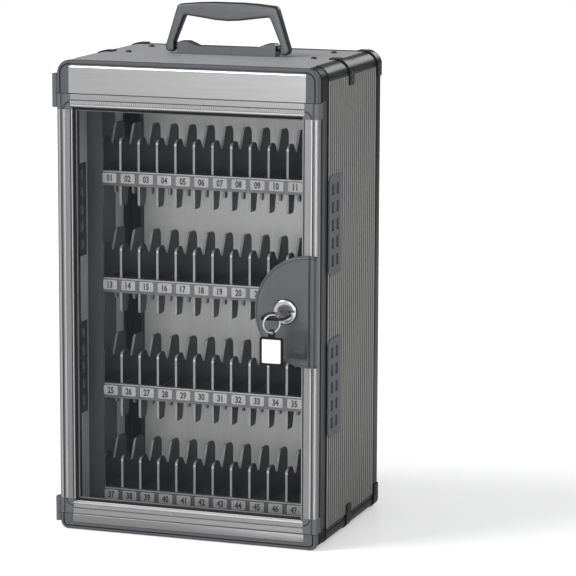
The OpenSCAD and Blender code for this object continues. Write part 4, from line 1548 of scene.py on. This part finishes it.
@dataclass(frozen=True)
class FloorFinish(Finish):
    """Pale floor with faint unevenness in its gloss, lifted to white for the camera alone."""
    lift: float = 0.0
    far: float = 0.25

    def paint(self, g: Graph) -> dict:
        """Cloudy gloss, and a glow for the camera that grows with the distance.

        Args:
            g: the material's graph.
        Returns:
            Inputs of the shader.
        """
        cloud = g.noise(g.where(), 2.0, 3.0)
        seen = g.out(g.node("ShaderNodeLightPath"), "Is Camera Ray")
        reach = g.out(g.node("ShaderNodeVectorMath", {"operation": "LENGTH"},
                             {0: g.where()}), "Value")
        lift = reach.above(1.0, 2.4) * self.far + self.lift
        return {"Base Color": g.mix(cloud, shade(self.base, 0.99), self.base),
                "Emission Color": g.mix(seen * lift, (0.0, 0.0, 0.0), (1.0, 1.0, 1.0)),
                "Emission Strength": 1.0,
                "Roughness": cloud * 0.06 + self.roughness,
                "Normal": g.bump(g.noise(g.where(), 160.0), 0.02, 0.0002)}


@dataclass
class Studio:
    """Floor, white surround, soft lights and the photograph's camera."""
    eye: tuple = (1.0805, -2.9356, 0.8032)
    yaw: float = 18.89
    pitch: float = 9.97
    roll: float = 0.22
    lens: float = 183.85
    surround: float = 0.44
    mirrored: float = 0.80
    rear: float = 0.30
    softness: float = 26.0
    floor_lift: float = 0.37
    floor_half: float = 6.0
    floor_z: float = -0.0003
    sun_at: tuple = (-0.75, -0.5, 1.0)
    sun_power: float = 2.0
    lamps: tuple = (("front_light", (0.1, -2.9, 0.7), (0, 0, 0.25), (1.2, 0.9), 32.0),
                    ("side_light", (2.4, -1.2, 0.9), (0.1, 0, 0.25), (0.8, 0.8), 20.0),
                    ("rim_light", (0.45, 2.3, 1.15), (0, 0, 0.4), (1.0, 0.4), 6.0))

    def camera(self) -> None:
        """Camera turned by roll about its own axis, tipped down by pitch, then turned by yaw."""
        data = bpy.data.cameras.new("camera")
        data.lens, data.sensor_width, data.clip_end = self.lens, 36.0, 50.0
        obj = bpy.data.objects.new("camera", data)
        turn = Matrix.Identity(4)
        for angle, axis in ((self.yaw, "Z"), (90.0 - self.pitch, "X"), (self.roll, "Z")):
            turn = turn @ Matrix.Rotation(math.radians(angle), 4, axis)
        obj.matrix_world = Matrix.Translation(self.eye) @ turn
        bpy.context.collection.objects.link(obj)
        bpy.context.scene.camera = obj

    def world(self) -> None:
        """White to the camera and in reflections, and a softer white as light."""
        world = bpy.data.worlds.new("surround")
        bpy.context.scene.world = world
        world.use_nodes = True
        g = Graph(world.node_tree)
        path = g.node("ShaderNodeLightPath")
        seen = g.math("MAXIMUM", g.out(path, "Is Camera Ray"), g.out(path, "Is Transmission Ray"))
        ahead = g.axis(g.out(g.node("ShaderNodeTexCoord"), "Generated"), "Y") * -1.0
        cool = (0.98, 0.99, 1.0)
        front = g.mix(g.out(path, "Is Glossy Ray"), shade(cool, self.surround),
                      (self.mirrored,) * 3)
        room = g.mix(ahead.above(-0.5, 0.6), shade(cool, self.rear), front)
        white = g.mix(seen, room, (1.0, 1.0, 1.0))
        sky = g.node("ShaderNodeBackground", inputs={"Color": white, "Strength": 1.0})
        g.node("ShaderNodeOutputWorld", inputs={"Surface": g.out(sky)})

    def lamp(self, name: str, at: tuple, aim: tuple, size: tuple, power: float) -> None:
        """Area light at a point, aimed at another.

        Args:
            name: the lamp's name.
            at: where it hangs, in metres.
            aim: the point that it faces.
            size: its width and height.
            power: its power, in watts.
        """
        data = bpy.data.lights.new(name, "AREA")
        data.shape, data.size, data.size_y, data.energy = "RECTANGLE", *size, power
        obj = self.hang(data, Vector(at) - Vector(aim))
        obj.location = at
        obj.visible_camera = False

    def sun(self) -> None:
        """Key light: even light from sun_at, as soft as a wide window."""
        data = bpy.data.lights.new("key_light", "SUN")
        data.energy, data.angle = self.sun_power, math.radians(self.softness)
        self.hang(data, Vector(self.sun_at))

    @staticmethod
    def hang(data: bpy.types.Light, back: Vector) -> bpy.types.Object:
        """Object for a light that shines away from back, in the scene and on the stage.

        Args:
            data: the light.
            back: direction from the light's aim to the light.
        Returns:
            The object.
        """
        obj = bpy.data.objects.new(data.name, data)
        obj.rotation_euler = back.to_track_quat("Z", "Y").to_euler()
        bpy.context.collection.objects.link(obj)
        return obj

    def floor(self) -> None:
        """Large pale floor under the cabinet."""
        mesh = bpy.data.meshes.new("floor")
        half = self.floor_half
        mesh.from_pydata([(-half, -half, 0), (half, -half, 0), (half, half, 0), (-half, half, 0)],
                         [], [(0, 1, 2, 3)])
        mesh.materials.append(FloorFinish("pale_floor", "", (0.90, 0.90, 0.90), 0.22, sheen=0.3,
                                          lift=self.floor_lift).material())
        obj = bpy.data.objects.new("floor", mesh)
        obj.location.z = self.floor_z
        bpy.context.collection.objects.link(obj)

    def build(self) -> None:
        """Sets the studio up."""
        bpy.context.scene.view_settings.view_transform = "Standard"
        self.camera()
        self.world()
        self.floor()
        self.sun()
        for lamp in self.lamps:
            self.lamp(*lamp)


def main() -> None:
    """Builds the locker and its studio."""
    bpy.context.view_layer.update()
    bench = Bench()
    for part in (FrontFrame(), Shell(), Racks(), Door(), Lock(), Handle()):
        part.build(bench)
    Studio().build()
    log.info("%d pieces", len(bench.made))
    bpy.context.view_layer.update()


if __name__ == "__main__":
    main()
